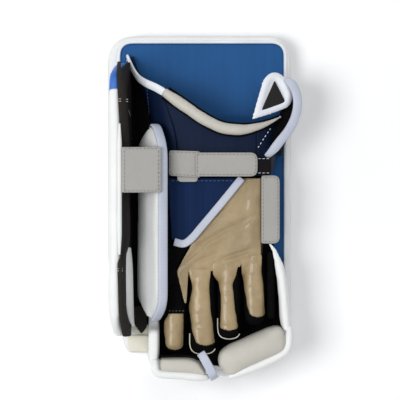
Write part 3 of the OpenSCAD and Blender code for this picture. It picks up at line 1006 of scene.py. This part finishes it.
def finger_protection():
    """The guards round the fingertips and down the little finger's side."""
    block("left_finger_guard", "finger_guard_left", 4, 1.6, 2)
    block("right_finger_guard", "finger_guard_right", 4.5, 2.2, 3)
    top = box_mm("finger_guard_left")[1].z
    for name, (points, deep) in GUARD_RIMS.items():
        line = smooth_line([mm(x, y, top - deep) for x, y in points], 6)
        rim = sweep(name, even_line(line, 3), oval(10, 16, 14, 2.4), "white_leather", "board",
                    size=lambda t: 0.6 + 0.4 * min(1, 8 * t, 8 * (1 - t)))
        ripple(rim, 0.4, 18, 5)
        finer(rim)
    lip = smooth_line([mm(x, y, top + z) for x, y, z in GUARD_LIP], 6)
    sweep("guard_lip", even_line(lip, 2), oval(3.0, 3.4, 10), "black_fabric", "board")
    tie = smooth_line([mm(x, y, top + z) for x, y, z in GUARD_TIE], 6)
    sweep("guard_tie_strip", even_line(tie, 2), oval(9.5, 1.8, 12, 2.8), "pale_binding", "board",
          ("guard_tie",))

    top = box_mm("side_guard")[1].z
    rings = []
    for inner, outer, y, foot in SIDE_GUARD:
        low_in = max(inner, 88) if foot < 60 else inner
        middle = (inner + outer) / 2
        rings.append(route(
            (outer, y, foot), (outer + 0.8, y, (foot + top) / 2), (outer, y, top - 3), (middle, y, top),
            (inner + 0.5, y, top - 2), (inner, y, top - 5.5), (low_in, y, min(60, foot + 20)),
            (low_in, y, foot)))
    side = loft("side_guard_pad", rings, "white_leather", "board", ("side_guard",))
    stuffed(side, "white_leather", 2.2, 1.2, soften=5)
    wall = cad_copy("finger_wall_pad", "finger_wall", "white_leather", "board")
    stuffed(wall, "white_leather", 2.5, 1.2, soften=5)


# ---------------------------------------------------------------- sidewall

SIDEWALL_THICK = 12.6
# The bare stretch of the sidewall's rolled top edge: first and last y, and lowest z
ROLLED_EDGE = (-52, 92, 85)
# Where the sidewall's blue tip begins, with its slanted seam
TIP_AT = mm(0, 128, 92)
TIP_NORMAL = Vector((0, 0.88, -0.47))
# The webbing inside the sidewall's top and the flap below it: y, then x and z of each edge
SIDE_WEB = [
    (157, -88.5, 72, -84.5, 68), (151, -88.5, 83.5, -84, 80), (144, -88.3, 89.6, -82.5, 85),
    (134, -88, 92.4, -80.4, 86.5), (114, -86.8, 93, -77, 83.5), (88, -85, 91, -75.5, 78),
    (66, -83, 84, -75, 70), (40, -81.8, 76, -75, 62), (11, -81.4, 73, -75.4, 58),
    (-12, -81, 71, -74.8, 57), (-36, -81, 71, -75, 58), (-50, -83, 83, -78, 70),
    (-59, -87.4, 92.6, -81.4, 88), (-73, -87.6, 92.8, -82, 88.5), (-84, -87, 92.8, -80.4, 86.5),
    (-111, -86, 92.6, -77.5, 82), (-132, -83.5, 86, -72.8, 72), (-140, -82, 80, -73.5, 67),
]
WEB_TACKS = (114, -68)
SIDE_FLAP = [
    (-44, -78.5, 60, -74.5, 44), (-63, -80, 66, -72, 46), (-101, -79.4, 64, -71, 46),
    (-120, -77, 56, -70.8, 43), (-131, -73.5, 46, -70.8, 40),
]


def rails(rows):
    """The two edges of a strip, from rows of y and then x and z of each edge."""
    left = smooth_line([mm(x, y, z) for y, x, z, _, _ in rows], 5)
    right = smooth_line([mm(x, y, z) for y, _, _, x, z in rows], 5)
    return left, right


def sidewall():
    """The tall padded wall on the board's left, with its tip, lining, webbing and flap."""
    body = "sidewall"
    inward = main_normal("sidewall_liner", (1, 0, 0))
    liner_loop = border_of("sidewall_liner", inward)
    loop = [p - inward * 1.2 * MM for p in grown(liner_loop, inward, 2)]
    wall = pad("sidewall_pad", loop, inward, SIDEWALL_THICK, "white_leather", body,
               ("sidewall_core", "sidewall_outer_skin"), 4.5, 0.2, 1.4, 4)
    stuffed(wall, "white_leather", 3.2, 1.6)
    ripple(wall, 0.5, 45, 4)
    tip = cut_off(wall, TIP_AT, TIP_NORMAL, "sidewall_tip_cover", "blue_leather", body, "sidewall_tip")
    ring = section_ring(wall, TIP_AT - TIP_NORMAL * 0.4 * MM, TIP_NORMAL)
    sweep("sidewall_tip_seam", even_line(ring, 1.5, True), oval(1.1, 1.1, 6), "white_leather", body,
          closed=True, out=TIP_NORMAL, look=THREADS["white"])
    first_y, last_y, lowest_z = ROLLED_EDGE
    rim = [p - inward * 1.7 * MM for p in even_line(liner_loop, 3, True)
           if p.z / MM > lowest_z and first_y < p.y / MM < last_y]
    rim.sort(key=lambda p: p.y)
    sweep("sidewall_rolled_edge", rim, oval(5.4, 5, 12), "white_leather", body, out=inward,
          size=lambda t: min(1, 0.4 + 4 * t, 0.4 + 4 * (1 - t)))

    liner = pad("sidewall_lining", liner_loop, inward, 1.5, "charcoal_fabric", body,
                ("sidewall_liner",), 0.7, 0.5, 0, 4)
    ripple(liner, 0.3, 20, 5)
    finer(liner)

    left, right = rails(SIDE_WEB)
    lift = Vector((0.6, 0, 0.8))
    ribbon("sidewall_web", left, right, 1.8, "black_webbing", body, ("sidewall_webbing",), 2.4, lift,
           WEB_TAPE)
    for y in WEB_TACKS:
        k = min(range(len(left)), key=lambda i: abs(left[i].y - y * MM))
        for step in (-1.2, 1.2):
            move = mm(0, step, 0) + lift * MM
            stitch([left[k] + move, right[k] + move], lift, body, long=1.6, gap=0.3, wide=0.8)

    ribbon("sidewall_flap", *rails(SIDE_FLAP), 3.2, "white_leather", body, ("sidewall_inner_flap",), 2.2,
           Vector((0.7, 0, 0.7)))
    finer(pad("link_anchor", border_of("link_band_anchor", inward), inward, 1.6, "grey_leather", body,
              ("link_band_anchor",), 0.7, 0.2, 0, 2))


# The link band's section, x across from the sidewall and z above its CAD node's foot
BAND_SECTION = [(0.4, -0.6), (0.0, 0.4), (0.3, 1.3), (1.4, 2.1), (4, 2.5), (12, 2.7), (24, 2.7),
                (34, 2.6), (39, 2.4), (41.2, 1.9), (42.2, 1.0), (42.3, 0.1)]


def link_band():
    """A wide band folded over the sidewall's edge, lying across to the thumb guard."""
    low, high = box_mm("link_band")
    stretch = (high.x - low.x) / BAND_SECTION[-1][0]
    line = smooth_line([mm(low.x + x * stretch, 0, low.z + z) for x, z in BAND_SECTION], 3)
    rows = 22
    grid = []
    for i in range(rows + 1):
        y = low.y + (high.y - low.y) * i / rows
        grid.append([Vector((p.x, y * MM, p.z - 0.35 * MM * math.cos(math.pi * (2 * i / rows - 1)) ** 2))
                     for p in line])
    band = grid_piece("link_band_cover", grid, "grey_leather", "link_band", ("link_band",),
                      towards(UP), 2.2)
    for y in (low.y + 2, high.y - 2):
        z = high.z - 0.2
        stitch([mm(low.x + 3, y, z), mm(high.x - 3, y, z)], UP, "link_band", "grey")
    for x in (low.x + 3.2, high.x - 3.0):
        z = high.z - 0.3
        stitch([mm(x, low.y + 2.4, z), mm(x, high.y - 2.4, z)], UP, "link_band", "grey")


# ---------------------------------------------------------------- thumb guard

# The height above which the thumb guard's edge is bound with tape
GUARD_TAPE_FROM = 58


def thumb_guard():
    """The padded guard along the thumb, leaning outward, with tape round its upper edge."""
    body = "thumb_guard"
    outward = main_normal("thumb_guard_outer_skin", (-1, 0, 0.3))
    loop = border_of("thumb_guard_outer_skin", outward)
    guard = pad("thumb_guard_pad", grown(loop, outward, 1), outward, 8.6, "white_leather", body,
                ("thumb_guard_core", "thumb_guard_outer_skin"), 3.2, 1.8, 0.2, 4)
    stuffed(guard, "white_leather", 3.0, 1.6)
    ripple(guard, 0.5, 40, 7)

    inner = main_normal("thumb_guard_inner_skin", (1, 0, -0.3))
    inner_loop = border_of("thumb_guard_inner_skin", inner)
    finer(pad("thumb_guard_lining", inner_loop, inner, 1.4, "charcoal_fabric", body,
              ("thumb_guard_inner_skin",), 0.6, 0.4, 0, 4))

    line = even_line(grown(loop, outward, 1.0), 3, True)
    lowest = min(range(len(line)), key=lambda i: line[i].z)
    line = [p for p in line[lowest:] + line[:lowest] if p.z > GUARD_TAPE_FROM * MM]
    middle = [p - outward * 4.6 * MM for p in line]
    sweep("thumb_guard_edge_tape", middle, oval(3.6, 10.4, 14, 3.2), "pale_binding", body,
          ("thumb_guard_binding",), out=outward, size=lambda t: min(1, 0.5 + 12 * t, 0.5 + 12 * (1 - t)))
    inset = [p - d * 2.6 * MM + outward * 0.5 * MM for p, d in zip(line, in_plane(line, outward))]
    stitch(inset[1:-1], outward, body)


# ---------------------------------------------------------------- glove

def segment_gap(x, y, a, b):
    """How far x, y lies from the line from a to b, and at what share of its length."""
    dx, dy = b[0] - a[0], b[1] - a[1]
    t = max(0, min(1, ((x - a[0]) * dx + (y - a[1]) * dy) / (dx * dx + dy * dy)))
    return math.hypot(x - a[0] - dx * t, y - a[1] - dy * t), t


# The glove's padded parts: name, CAD node, and how they are blown up and softened
GLOVE_PADS = [
    ("glove_pad", "glove_back_pad", 3.5, 1.0, 0.5, 3), ("finger_pad", "finger_backing", 3.0, 0.8, 0.4, 2),
    ("thumb_side_wall", "thumb_side_gusset", 2.2, 0.8, 0.5, 3),
    ("hand_side_wall", "hand_side_gusset", 2.2, 0.8, 0.5, 3),
]
# Pleats and creases in the palm, each with its two ends, its depth and its width
CREASES = [
    ((-3, -27), (36, 7), 1.6, 1.2), ((-12, -48), (40, -19), 1.5, 1.8), ((-26, -66), (8, -40), 1.5, 2.0),
    ((24, -57), (58, -46), 1.9, 1.6), ((-8, -62), (22, -50), 1.1, 1.8), ((30, -28), (62, -8), 0.8, 2.6),
    ((14, -2), (40, 24), 0.9, 1.8),
]


# The palm leather's outline, with its point between the thumb and the index finger
PALM = [
    (-24.7, -70, 1.5), (-16, -105, 0.5), (-14, -105, 0.5), (-12.2, -82, 2), (-11.5, -70, 1.5),
    (12, -69.5, 2), (14, -70.5, 1), (18, -66, 2), (42, -65, 2), (44, -66, 1), (47, -60, 2),
    (67.3, -57, 3), (67, 31, 1), (-30, 31, 1),
    (-30, -36, 1), (-8.5, -40.5, 2),
]

# The route of the gauntlet flap's bound edge
GAUNTLET_EDGE = [(46, 31, 65), (34, 16, 65), (20, -1, 65), (4, -20, 65), (-8, -34, 65), (-17, -40, 65),
                 (-27, -38, 65)]


def palm_height(x, y):
    """The palm leather's height over its CAD face: the hand's swell, the creases and fine waves."""
    z = 0.9 * math.exp(-((x - 44) / 16) ** 2 - ((y + 22) / 34) ** 2)
    z += 1.7 * math.exp(-((x - 57.5 - 0.03 * y) / 6) ** 2 - ((y + 14) / 34) ** 4)
    for a, b, depth, width in CREASES:
        gap, t = segment_gap(x, y, a, b)
        fade = min(1, 4 * t + 0.15, 4 * (1 - t) + 0.15)
        z += fade * depth * (0.55 * math.exp(-((gap - 2.6 * width) / (1.7 * width)) ** 2)
                             - math.exp(-(gap / width) ** 2))
    slant = Vector((x * 0.66 + y * 0.75, x * 0.75 - y * 0.66, 0))
    z += 0.45 * noise.noise(Vector((slant.x / 42, slant.y / 13, 1)))
    return z


def glove():
    """The hand of the glove: its padding and side walls, the palm and the gauntlet flap."""
    for name, node, voxel, cap, fill, soften in GLOVE_PADS:
        part = cad_copy(name, node, "black_fabric", "board")
        stuffed(part, "black_fabric", voxel, cap, soften)

    low, high = box_mm("palm")
    loop = rounded(PALM, high.z)
    border = inside_by(loop)

    def height(x, y):
        rim = border(x, y)
        return palm_height(x, y) * min(1, rim / 4) - 0.7 * math.exp(-rim / 1.2)

    palm = height_sheet("palm_leather", loop, 1.6, "tan_leather", "board", ("palm",), height, 1.8)
    finer(palm)
    start, end = CREASES[0][:2]
    pleat = even_line([mm(*start, 61), mm(*end, 61)], 2)
    stitch([p + mm(-1.6, 1.8, palm_height(p.x / MM, p.y / MM) + 0.9) for p in pleat], UP, "board",
           "cream", wide=0.5)
    seam = [mm(67.6, high.y - 2, high.z - 0.1), mm(67.6, -52, high.z - 0.3)]
    sweep("palm_side_seam", even_line(seam, 3), oval(1.8, 1.6, 8), "black_fabric", "board",
          look=THREADS["black"])

    flap_loop = border_of("gauntlet_flap", UP)
    flap_border = inside_by(flap_loop)

    def flap_height(x, y):
        wave = noise.noise(Vector((x / 18, y / 22, 7)))
        return (0.6 * wave - 0.8) * min(1, flap_border(x, y) / 6)

    flap = height_sheet("gauntlet_cloth", flap_loop, 1.6, "navy_nylon", "board", ("gauntlet_flap",),
                        flap_height, 2.5, look=GAUNTLET_NYLON)
    finer(flap)
    line = smooth_route(GAUNTLET_EDGE, 8)
    sweep("gauntlet_edge_tape", line, oval(8.4, 2.6, 12, 2.6), "pale_binding", "board",
          ("gauntlet_binding",))
    line = even_line(line, 2)
    inset = [p - d * 2.7 * MM + mm(0, 0, 1.15) for p, d in zip(line, in_plane(line, UP))]
    stitch(inset[1:-1], UP, "board")
    low, high = box_mm("gauntlet_flap")
    y, z = high.y - 3, high.z + 0.1
    stitch([mm(low.x + 4, y, z), mm(high.x - 6, y, z)], UP, "board", "blue", long=3)


# ---------------------------------------------------------------- fingers

# The piping round a finger's cap: share of the half width, and distance from the tip
CAP_LINE = [(-1.0, 22), (-1.0, 14), (-0.98, 9), (-0.92, 5.6), (-0.78, 2.6), (-0.5, 0.4), (0, -0.7),
            (0.5, 0.3), (0.78, 2.4), (0.92, 5.2)]
THUMB_ROOT = [(-36.5, -88, 2), (-13.5, -88, 2), (-15, -78, 2), (-24, -68.5, 1), (-8, -40, 2),
              (-30.5, -36, 2), (-36.5, -50, 3)]


def rounded_end(gap, reach):
    """A quarter of a rounded outline: 0 at an end, 1 from reach inward."""
    return (1 - max(0, 1 - gap / reach) ** 2.4) ** (1 / 2.4)


def finger(name, body, nodes, cover_slot, cover, sway=(0, 0), reach=0.62, start_y=None, cap=9,
           piping=False, thread="cream"):
    """A finger of the glove: a black knit sleeve with a leather cover on its palm side.
    cover lists the cover's middle and half width at even places from the knuckle to the tip."""
    boxes = [box_mm(n) for n in nodes]
    low = Vector(map(min, *(b[0] for b in boxes)))
    high = Vector(map(max, *(b[1] for b in boxes)))
    radius = (high.z - low.z) / 2
    knuckle = high.y - radius
    base, tip = knuckle + radius * reach, low.y
    half, axis_z = (high.x - low.x) / 2, low.z + radius

    def along(y):
        return (base - y) / (base - tip)

    def width(y):
        swell = 0.9 + 0.1 * math.sin(math.pi * min(1, along(y) * 1.15))
        return half * swell * rounded_end(y - tip, half * 0.9)

    def depth(y):
        return radius * (0.98 - 0.15 * along(y)) * rounded_end(y - tip, half * 0.75)

    def middle(y):
        t = along(y)
        return (low.x + high.x) / 2 + sway[0] * (1 - t) + sway[1] * t

    def top(x, y):
        w = max(width(y), 1e-3)
        u = min(0.999, abs(x - middle(y)) / w)
        web = high.z - 0.8 - max(0, (knuckle + 4 - y) / 4.5) ** 2
        return max(web, axis_z + depth(y) * (1 - u ** 2.5) ** (1 / 2.5))

    rows, around = 34, 28
    verts = []
    for i in range(rows + 1):
        y = base + (tip + 0.02 - base) * (1 - (1 - i / rows) ** 1.5)
        for k in range(around):
            a = math.tau * k / around
            c, s = math.cos(a), math.sin(a)
            x = middle(y) + width(y) * math.copysign(abs(c) ** 0.8, c)
            z = axis_z + depth(y) * math.copysign(abs(s) ** 0.8, s)
            verts.append(mm(x, y, z))
    sleeve = make(name + "_sleeve_knit", verts, tube_faces(rows + 1, around), "black_fabric", None,
                  (nodes[0],))
    ripple(sleeve, 0.55, 9, len(name), (1, 0.6, 1))
    finer(sleeve)
    settled(sleeve, "black_fabric")

    near, far = start_y or base + 1.5, tip + cap
    steps, across = 44, 16

    def place(t, u, lift):
        y = near + (far - near) * t
        k = t * (len(cover) - 1)
        i = min(int(k), len(cover) - 2)
        s = k - i
        s = s * s * (3 - 2 * s)
        mid = cover[i][0] * (1 - s) + cover[i + 1][0] * s
        wide = cover[i][1] * (1 - s) + cover[i + 1][1] * s
        wide *= rounded_end((1 - t) * (near - far), 5)
        x = mid + u * wide
        crease = 0.8 * noise.noise(Vector((x / 12, y / 6, len(name))))
        crease += 1.0 * noise.noise(Vector((x / 22 + y / 40, y / 15, 9)))
        edge = 0.5 * max(0, abs(u) - 0.75) / 0.25
        return mm(x, y, top(x, y) + lift + crease * (1 - abs(u) ** 2) - edge)

    grid = [[place(i / steps, 2 * k / across - 1, 1.3) for k in range(across + 1)]
            for i in range(steps + 1)]
    leather_cover = grid_piece(name + "_leather_cover", grid, cover_slot, None, (nodes[1],),
                               towards(UP), 1.3)
    settled(leather_cover, cover_slot)
    pieces = [sleeve, leather_cover]
    if piping:
        arc = [mm(middle(tip) + share * (half * 0.95 + 0.6), tip + up, axis_z + 3)
               for share, up in CAP_LINE]
        # The cap piping uses the brighter copy of the cream leather: painted light.
        pieces.append(sweep(name + "_cap_piping", even_line(smooth_line(arc, 5), 1.5),
                            oval(1.3, 1.3, 8), "cream_leather", None, look=CREAM_PAINTED_LIT))
    for piece in pieces:
        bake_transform(piece)
    if not thread:
        return
    first = max(0.02, (near - knuckle + radius * 0.65) / (near - far))
    border = [place(first + (1 - first) * t / 30, -0.86, 1.55) for t in range(31)]
    border += [place(1, 2 * k / 8 - 1, 1.4) for k in range(1, 8)]
    border += [place(1 - (1 - first) * t / 30, 0.86, 1.55) for t in range(31)]
    stitch(border, UP, body, thread, wide=0.5, long=2.0, gap=1.6)


def fingers():
    """The four fingers, the thumb's tip and the thumb's root."""
    finger("index", "index_finger", ("index_sleeve", "index_leather"), "tan_leather",
           [(0.5, 12.2), (1.6, 9.6), (0.2, 12.2), (3.2, 12), (7.2, 10.8)], (0, 1), piping=True)
    finger("middle", "middle_finger", ("middle_sleeve", "middle_leather"), "tan_leather",
           [(28.5, 14.5), (27.6, 13.0), (28.7, 7.6), (30.4, 7.3), (31, 7.8), (31.8, 9.2), (32.5, 10.8)],
           piping=True)
    finger("ring", "ring_finger", ("ring_sleeve", "ring_leather"), "tan_leather",
           [(56, 12), (56.8, 11.0), (59.1, 10.9), (61, 10), (63.6, 8.8)], (0, 1.0))
    finger("little", "little_finger", ("little_sleeve", "little_leather"), "black_fabric",
           [(77.6, 3.8), (77.6, 4), (78, 3.8)], (0, 0), thread=None)
    finger("thumb", "thumb", ("thumb_tip", "thumb_patch"), "tan_leather",
           [(-25.4, 8.6), (-27.6, 11), (-27.8, 11), (-27.2, 10.4), (-26.3, 9)], (0, -2.6), reach=1.35,
           start_y=-116, cap=2.5)
    stitch([mm(x, -113, 60.3) for x in (-33, -25, -15)], UP, "thumb", "grey", long=2.4, gap=0.8)
    low, high = box_mm("thumb_root")
    root = pad("thumb_base", rounded(THUMB_ROOT, high.z), UP, high.z - low.z, "black_fabric", "board",
               ("thumb_root",), 4, 0.5, 0)
    stuffed(root, "black_fabric", 2.5, 0.8, soften=4)


# ---------------------------------------------------------------- cuff

# Lines over the cuff from the left wall's foot to the right wall's: at the wrist, midway, at the mouth
CUFF_ROWS = [
    [(-47, 32, 25), (-44, 32, 42), (-36, 32, 57), (-24, 32, 63), (10, 32, 65), (40, 32, 65),
     (62, 33, 63), (76, 36, 52), (82, 40, 38), (83, 42, 25)],
    [(-49, 78, 25), (-47, 80, 42), (-38, 80, 57), (-26, 78, 65), (8, 72, 68), (38, 67, 67.5),
     (62, 66, 65), (78, 70, 54), (85, 74, 38), (86, 76, 25)],
    [(-76, 166, 25), (-71, 151, 38), (-63, 138.5, 51), (-42, 124, 68), (0, 91, 71), (36, 77, 71),
     (62, 82, 68.5), (80, 89, 57), (87, 94, 40), (88, 96, 25)],
]
# The routes of the roll and of the cuff's bound edge
ROLL = [(-39, 124.5, 68.5), (-15, 108, 71), (1, 97, 71.5), (22, 86, 71.5), (44, 83, 70.5),
        (62, 86, 67.5), (77, 91.5, 63), (89, 98, 57)]
CUFF_EDGE = [(-79, 165.5, 26), (-73.5, 152, 37), (-66.5, 140.4, 49), (-57.5, 133.8, 58),
             (-48, 129.3, 64.5), (-38, 123.5, 68.5), (-33, 121, 69.5)]
# Pairs of points across the black gore left of the cuff, which also stands for the shade between the cuff
# and the sidewall (partly painted shade), and across the gusset between cuff and wing
GORE_AND_SHADE = [((-76, 62, 25.8), (-48.5, 62, 34)), ((-75.5, 95, 25.8), (-53.5, 96, 35)),
        ((-75.5, 112, 25.8), (-57.5, 109, 35)), ((-75.8, 130, 25.8), (-61.5, 121, 36)),
        ((-76, 148, 25.8), (-66, 135, 37)), ((-76.5, 161, 25.8), (-70.5, 149, 35))]
WING_GUSSET = [((76, 60, 55), (89, 66, 54)), ((78, 72, 54), (97, 80, 57)), ((81, 86, 54), (101.5, 93, 58)),
               ((85, 97, 50), (104, 108, 58)), ((92, 112, 44), (103, 120, 55))]
# Blue and white rows of stitches on the cuff, with their thread's width
CUFF_STITCHES = [
    ("blue", [(-56.8, 127), (-55.6, 112), (-54.6, 97)], 0.6),
    ("white", [(77.5, 85), (70, 74), (62.5, 62)], 1.0),
]
# The wing's foot and top
WING_FOOT = [(89.5, 55, 26), (94, 74, 26), (96, 92, 26), (97, 109, 26), (96, 126, 26), (91, 137, 27)]
WING_TOP = [(84, 57, 56), (95, 75, 62), (103, 92, 65), (106, 109, 65), (103.5, 128, 60), (96, 139, 51)]


def drop_on(columns, point):
    """The highest place of a grid of points straight above or below a point."""
    best = None
    for left, right in zip(columns, columns[1:]):
        for a, b, c, d in zip(left, left[1:], right, right[1:]):
            for tri in ((a, b, c), (b, d, c)):
                hit = intersect_ray_tri(*tri, DOWN, Vector((point.x, point.y, 1)), True)
                if hit and (best is None or hit.z > best.z):
                    best = hit
    return best or point


def cuff_surface():
    """The cuff's outer surface, as columns of points from the wrist to the mouth, six to a span."""
    lines = [smooth_route(row) for row in CUFF_ROWS]
    return [smooth_line([line[c] for line in lines], 10) for c in range(len(lines[0]))]


# Points on the line inside the cuff that its surfaces face away from
CUFF_AXIS = route((15, 32, 20), (0, 120, 20))


def from_cuff_axis(place):
    return place - intersect_point_line(place, *CUFF_AXIS)[0]


def lifted(columns, by):
    """The cuff's surface, moved outward."""
    out = []
    for i, column in enumerate(columns):
        line = []
        for k, p in enumerate(column):
            left, right = columns[max(0, i - 1)][k], columns[min(len(columns) - 1, i + 1)][k]
            back, ahead = column[max(0, k - 1)], column[min(len(column) - 1, k + 1)]
            normal = (right - left).cross(ahead - back).normalized()
            if normal.dot(from_cuff_axis(p)) < 0:
                normal = -normal
            line.append(p + normal * by * MM)
        out.append(line)
    return out


# The cuff's panels: name, CAD node, first and last column of the surface, and cut size
CUFF_PANELS = [
    ("cuff_left_cloth", "cuff_left_wall", 0, 18, (0.094, 0.060)),
    ("cuff_top_cloth", "cuff_wrist_panel", 18, 36, (0.104, 0.050)),
    ("cuff_right_cloth", "cuff_right_wall", 36, 54, (0.052, 0.052)),
]


def cuff():
    """The cuff's cloth and lining, the black gore on its left that is partly painted shade, its stitches,
    roll and bound edge.
    """
    surface = cuff_surface()
    for seed, (name, node, first, last, size) in enumerate(CUFF_PANELS, 1):
        piece = grid_piece(name, surface[first:last + 1], "navy_nylon", "board", (node,), from_cuff_axis)
        ripple(piece, 0.9, 24, seed, (1, 0.6, 1))
        piece.modifiers.clear()
        thicker(piece, 1.8)
        finer(piece)
    lining = grid_piece("cuff_lining", lifted(surface, -2.4), "black_fabric", "board", (), from_cuff_axis)
    thicker(lining, 0.9)
    finer(lining)

    # The gore is black cloth that also darkens the space between cuff and sidewall: partly painted shade.
    base, inner = (smooth_line([mm(*pair[side]) for pair in GORE_AND_SHADE], 6) for side in (0, 1))
    grid = [[a.lerp(b, k / 10) + UP * 3 * MM * math.sin(math.pi * k / 10) for k in range(11)]
            for a, b in zip(base, inner)]
    gore_and_shade = grid_piece("cuff_gore_and_shade", grid, "black_fabric", "board", (), towards(UP), 1.2)

    raised = lifted(surface, 0.7)
    for thread, points, wide in CUFF_STITCHES:
        line = even_line([drop_on(raised, mm(x, y, 0)) for x, y in points], 1.5)
        stitch([drop_on(raised, p) for p in line], UP, "board", thread, wide=wide)
    cuff_roll()
    edge = even_line(smooth_route(CUFF_EDGE, 8), 2.5)
    sweep("cuff_edge_tape", edge, oval(9, 5, 12, 2.6), "white_binding", "board",
          ("cuff_edge_binding",), out=[from_cuff_axis(p) for p in edge],
          size=lambda t: min(1, 0.62 + 0.55 * t, 0.5 + 6 * (1 - t)))
    inner = edge[2:-2]
    stitch([p + from_cuff_axis(p).normalized() * 2.4 * MM for p in inner],
           [from_cuff_axis(p) for p in inner], "board")


def cuff_roll():
    """The padded roll round the cuff's mouth with its two seams, and the gusset from it to the wing."""
    line = even_line(smooth_route(ROLL, 8), 3)

    def taper(t):
        return 0.22 + 2.2 * (1 - t)

    roll = sweep("cuff_roll_pad", line, oval(13, 13, 16), "cream_leather", "board", ("cuff_roll",),
                 size=lambda t: min(1, 0.75 + 2 * t, taper(t)))
    ripple(roll, 0.6, 16, 8)
    finer(roll)

    grid = [[mm(*a).lerp(mm(*b), k / 6) for k in range(7)] for a, b in WING_GUSSET]
    gusset = grid_piece("wing_gusset", grid, "black_fabric", None, (), towards(UP), 1.2, 2)
    settled(gusset, "black_fabric")
    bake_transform(gusset)

    last = len(line) - 1
    for name, side in (("front", 1), ("back", -1)):
        seam = [p + d * side * 6.5 * min(1, taper(k / last)) * MM + UP * 0.8 * MM
                for k, (p, d) in enumerate(zip(line, in_plane(line, UP)))]
        sweep("roll_seam_" + name, seam[1:-1], oval(2.8, 2.8, 8), "black_fabric", "board")


# The wing's bound edge from the cuff round to the tongue, and the tongue's outline along its tape
WING_EDGE = [(72.5, 54, 64), (80, 61.5, 66), (88, 71.5, 66.5), (96.3, 82, 67), (103, 95, 67.5),
             (106.2, 109, 67.5), (105.2, 122, 65.5), (100.5, 132.5, 62), (93.5, 138.5, 59)]
TONGUE = [(56.6, 93.5, 2), (68, 97, 4), (80, 101, 4), (98, 108, 6), (104, 122, 8), (95, 139.5, 6),
          (82, 148.5, 8), (70, 140, 6), (63, 117, 6)]
TONGUE_CLOTH = [(65.5, 100.5, 1), (81, 105.5, 2), (93.5, 113.5, 1.5), (81.8, 137, 1)]


def tongue_height(x, y):
    """The tongue lies on the roll at its lower left and falls towards its tip and the wing."""
    return 73.5 - 0.30 * max(0, x - 58) - 0.16 * max(0, y - 97)


def wing():
    """The flap on the cuff's right, bound with tape, and the tongue that closes over the roll."""
    body = "cuff_wing"
    foot, top = smooth_route(WING_FOOT), smooth_route(WING_TOP)
    belly = mm(1.6, 0, 0)
    grid = [[a.lerp(b, k / 8) + belly * math.sin(math.pi * k / 8) for k in range(9)]
            for a, b in zip(foot, top)]
    shell = grid_piece("wing_shell", grid, "black_fabric", None, ("cuff_wing",),
                       towards(Vector((1, 0, 0.2))), 3.0)
    edge = even_line(smooth_route(WING_EDGE, 8), 2.5)
    # The edge tape is white binding, drawn with the greyer pale binding look: painted shade.
    edge_tape = sweep("wing_edge_tape", edge, oval(10.4, 5.4, 12, 2.4), "white_binding", None,
                      ("cuff_wing_binding",), out=Vector((0.35, 0, 1)), look=LOOKS["pale_binding"],
                      size=lambda t: min(1, 0.6 + 3 * t, 0.6 + 4 * (1 - t)))
    for piece in (shell, edge_tape):
        settled(piece, "white_binding")
        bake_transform(piece)

    flat_z = 60
    loop = rounded(TONGUE, flat_z, 5)
    border = inside_by(loop)

    def tape_height(x, y):
        rim = border(x, y)
        swell = 2.2 * math.sin(math.pi * min(1, rim / 9)) - 1.6 * math.exp(-rim)
        return tongue_height(x, y) - flat_z + swell

    finer(height_sheet("tongue_edge_tape", loop, 3.0, "white_binding", body, ("cuff_tongue_binding",),
                       tape_height, 1.6))
    tongue = height_sheet("wing_tongue", rounded(TONGUE_CLOTH, flat_z), 1.0, "charcoal_fabric", body,
                          ("cuff_tongue",), lambda x, y: tongue_height(x, y) - flat_z + 1.5, 1.6)
    finer(tongue)


# ---------------------------------------------------------------- straps

# The keeper's lower layer, which shows below it
KEEPER_UNDERLAY = [(-24, 36, 1), (-24, 29, 1), (-21, 26.7, 1), (-3, 26.7, 1), (-1.4, 29, 1), (-1.4, 36, 1)]
KEEPER_UNDERLAY_Z = 67.2


def straps():
    """The wrist strap with its keeper, the elastic, and the tab beside the palm."""
    plate("keeper_loop", "strap_keeper", "grey_leather", "board", 1.3, 0.3)
    border_stitch("strap_keeper", "board", 2.0, 0.3)
    finer(pad("keeper_underlay", rounded(KEEPER_UNDERLAY, KEEPER_UNDERLAY_Z), UP, 1.8, "grey_leather",
              "board", (), 0.8, 0.2, 0, 2))
    plate("strap_leather", "wrist_strap", "grey_leather", "wrist_strap", 1.4, 0.5)
    border_stitch("wrist_strap", "wrist_strap", 2.2, 0.4)
    plate("strap_hooks", "strap_hook_pad", "hook_tape", "wrist_strap", 0.5, 0.1)
    plate("elastic_band", "wrist_elastic", "black_elastic", "board", 1.8, 0.5)
    low, high = box_mm("wrist_elastic")
    for y in (low.y + 1.4, high.y - 1.2):
        z = high.z + 0.4
        stitch([mm(low.x + 1, y, z), mm(high.x - 1, y, z)], UP, "board", long=3)
    plate("tab_leather", "hand_tab", "grey_leather", "hand_tab", 1.5, 0.6)
    border_stitch("hand_tab", "hand_tab", 2.2, 0.4)
    plate("tab_hooks", "tab_hook_pad", "hook_tape", "hand_tab", 0.5, 0.1)


def finish_cad_nodes():
    """Gives the CAD nodes that stay in view or inside their materials."""
    looks = {
        "face_panel": "white_leather", "face_band": "blue_leather", "board_foam_front": "foam",
        "board_foam_back": "foam", "board_stiffener": "stiffener",
    }
    for node, look in looks.items():
        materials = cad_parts[node].data.materials
        if not materials:
            materials.append(LOOKS[look])
        for i in range(len(materials)):
            materials[i] = LOOKS[look]


set_stage()
board()
linings()
corner_and_tab()
finger_protection()
sidewall()
link_band()
thumb_guard()
glove()
fingers()
cuff()
wing()
straps()
make_stitches()
finish_cad_nodes()
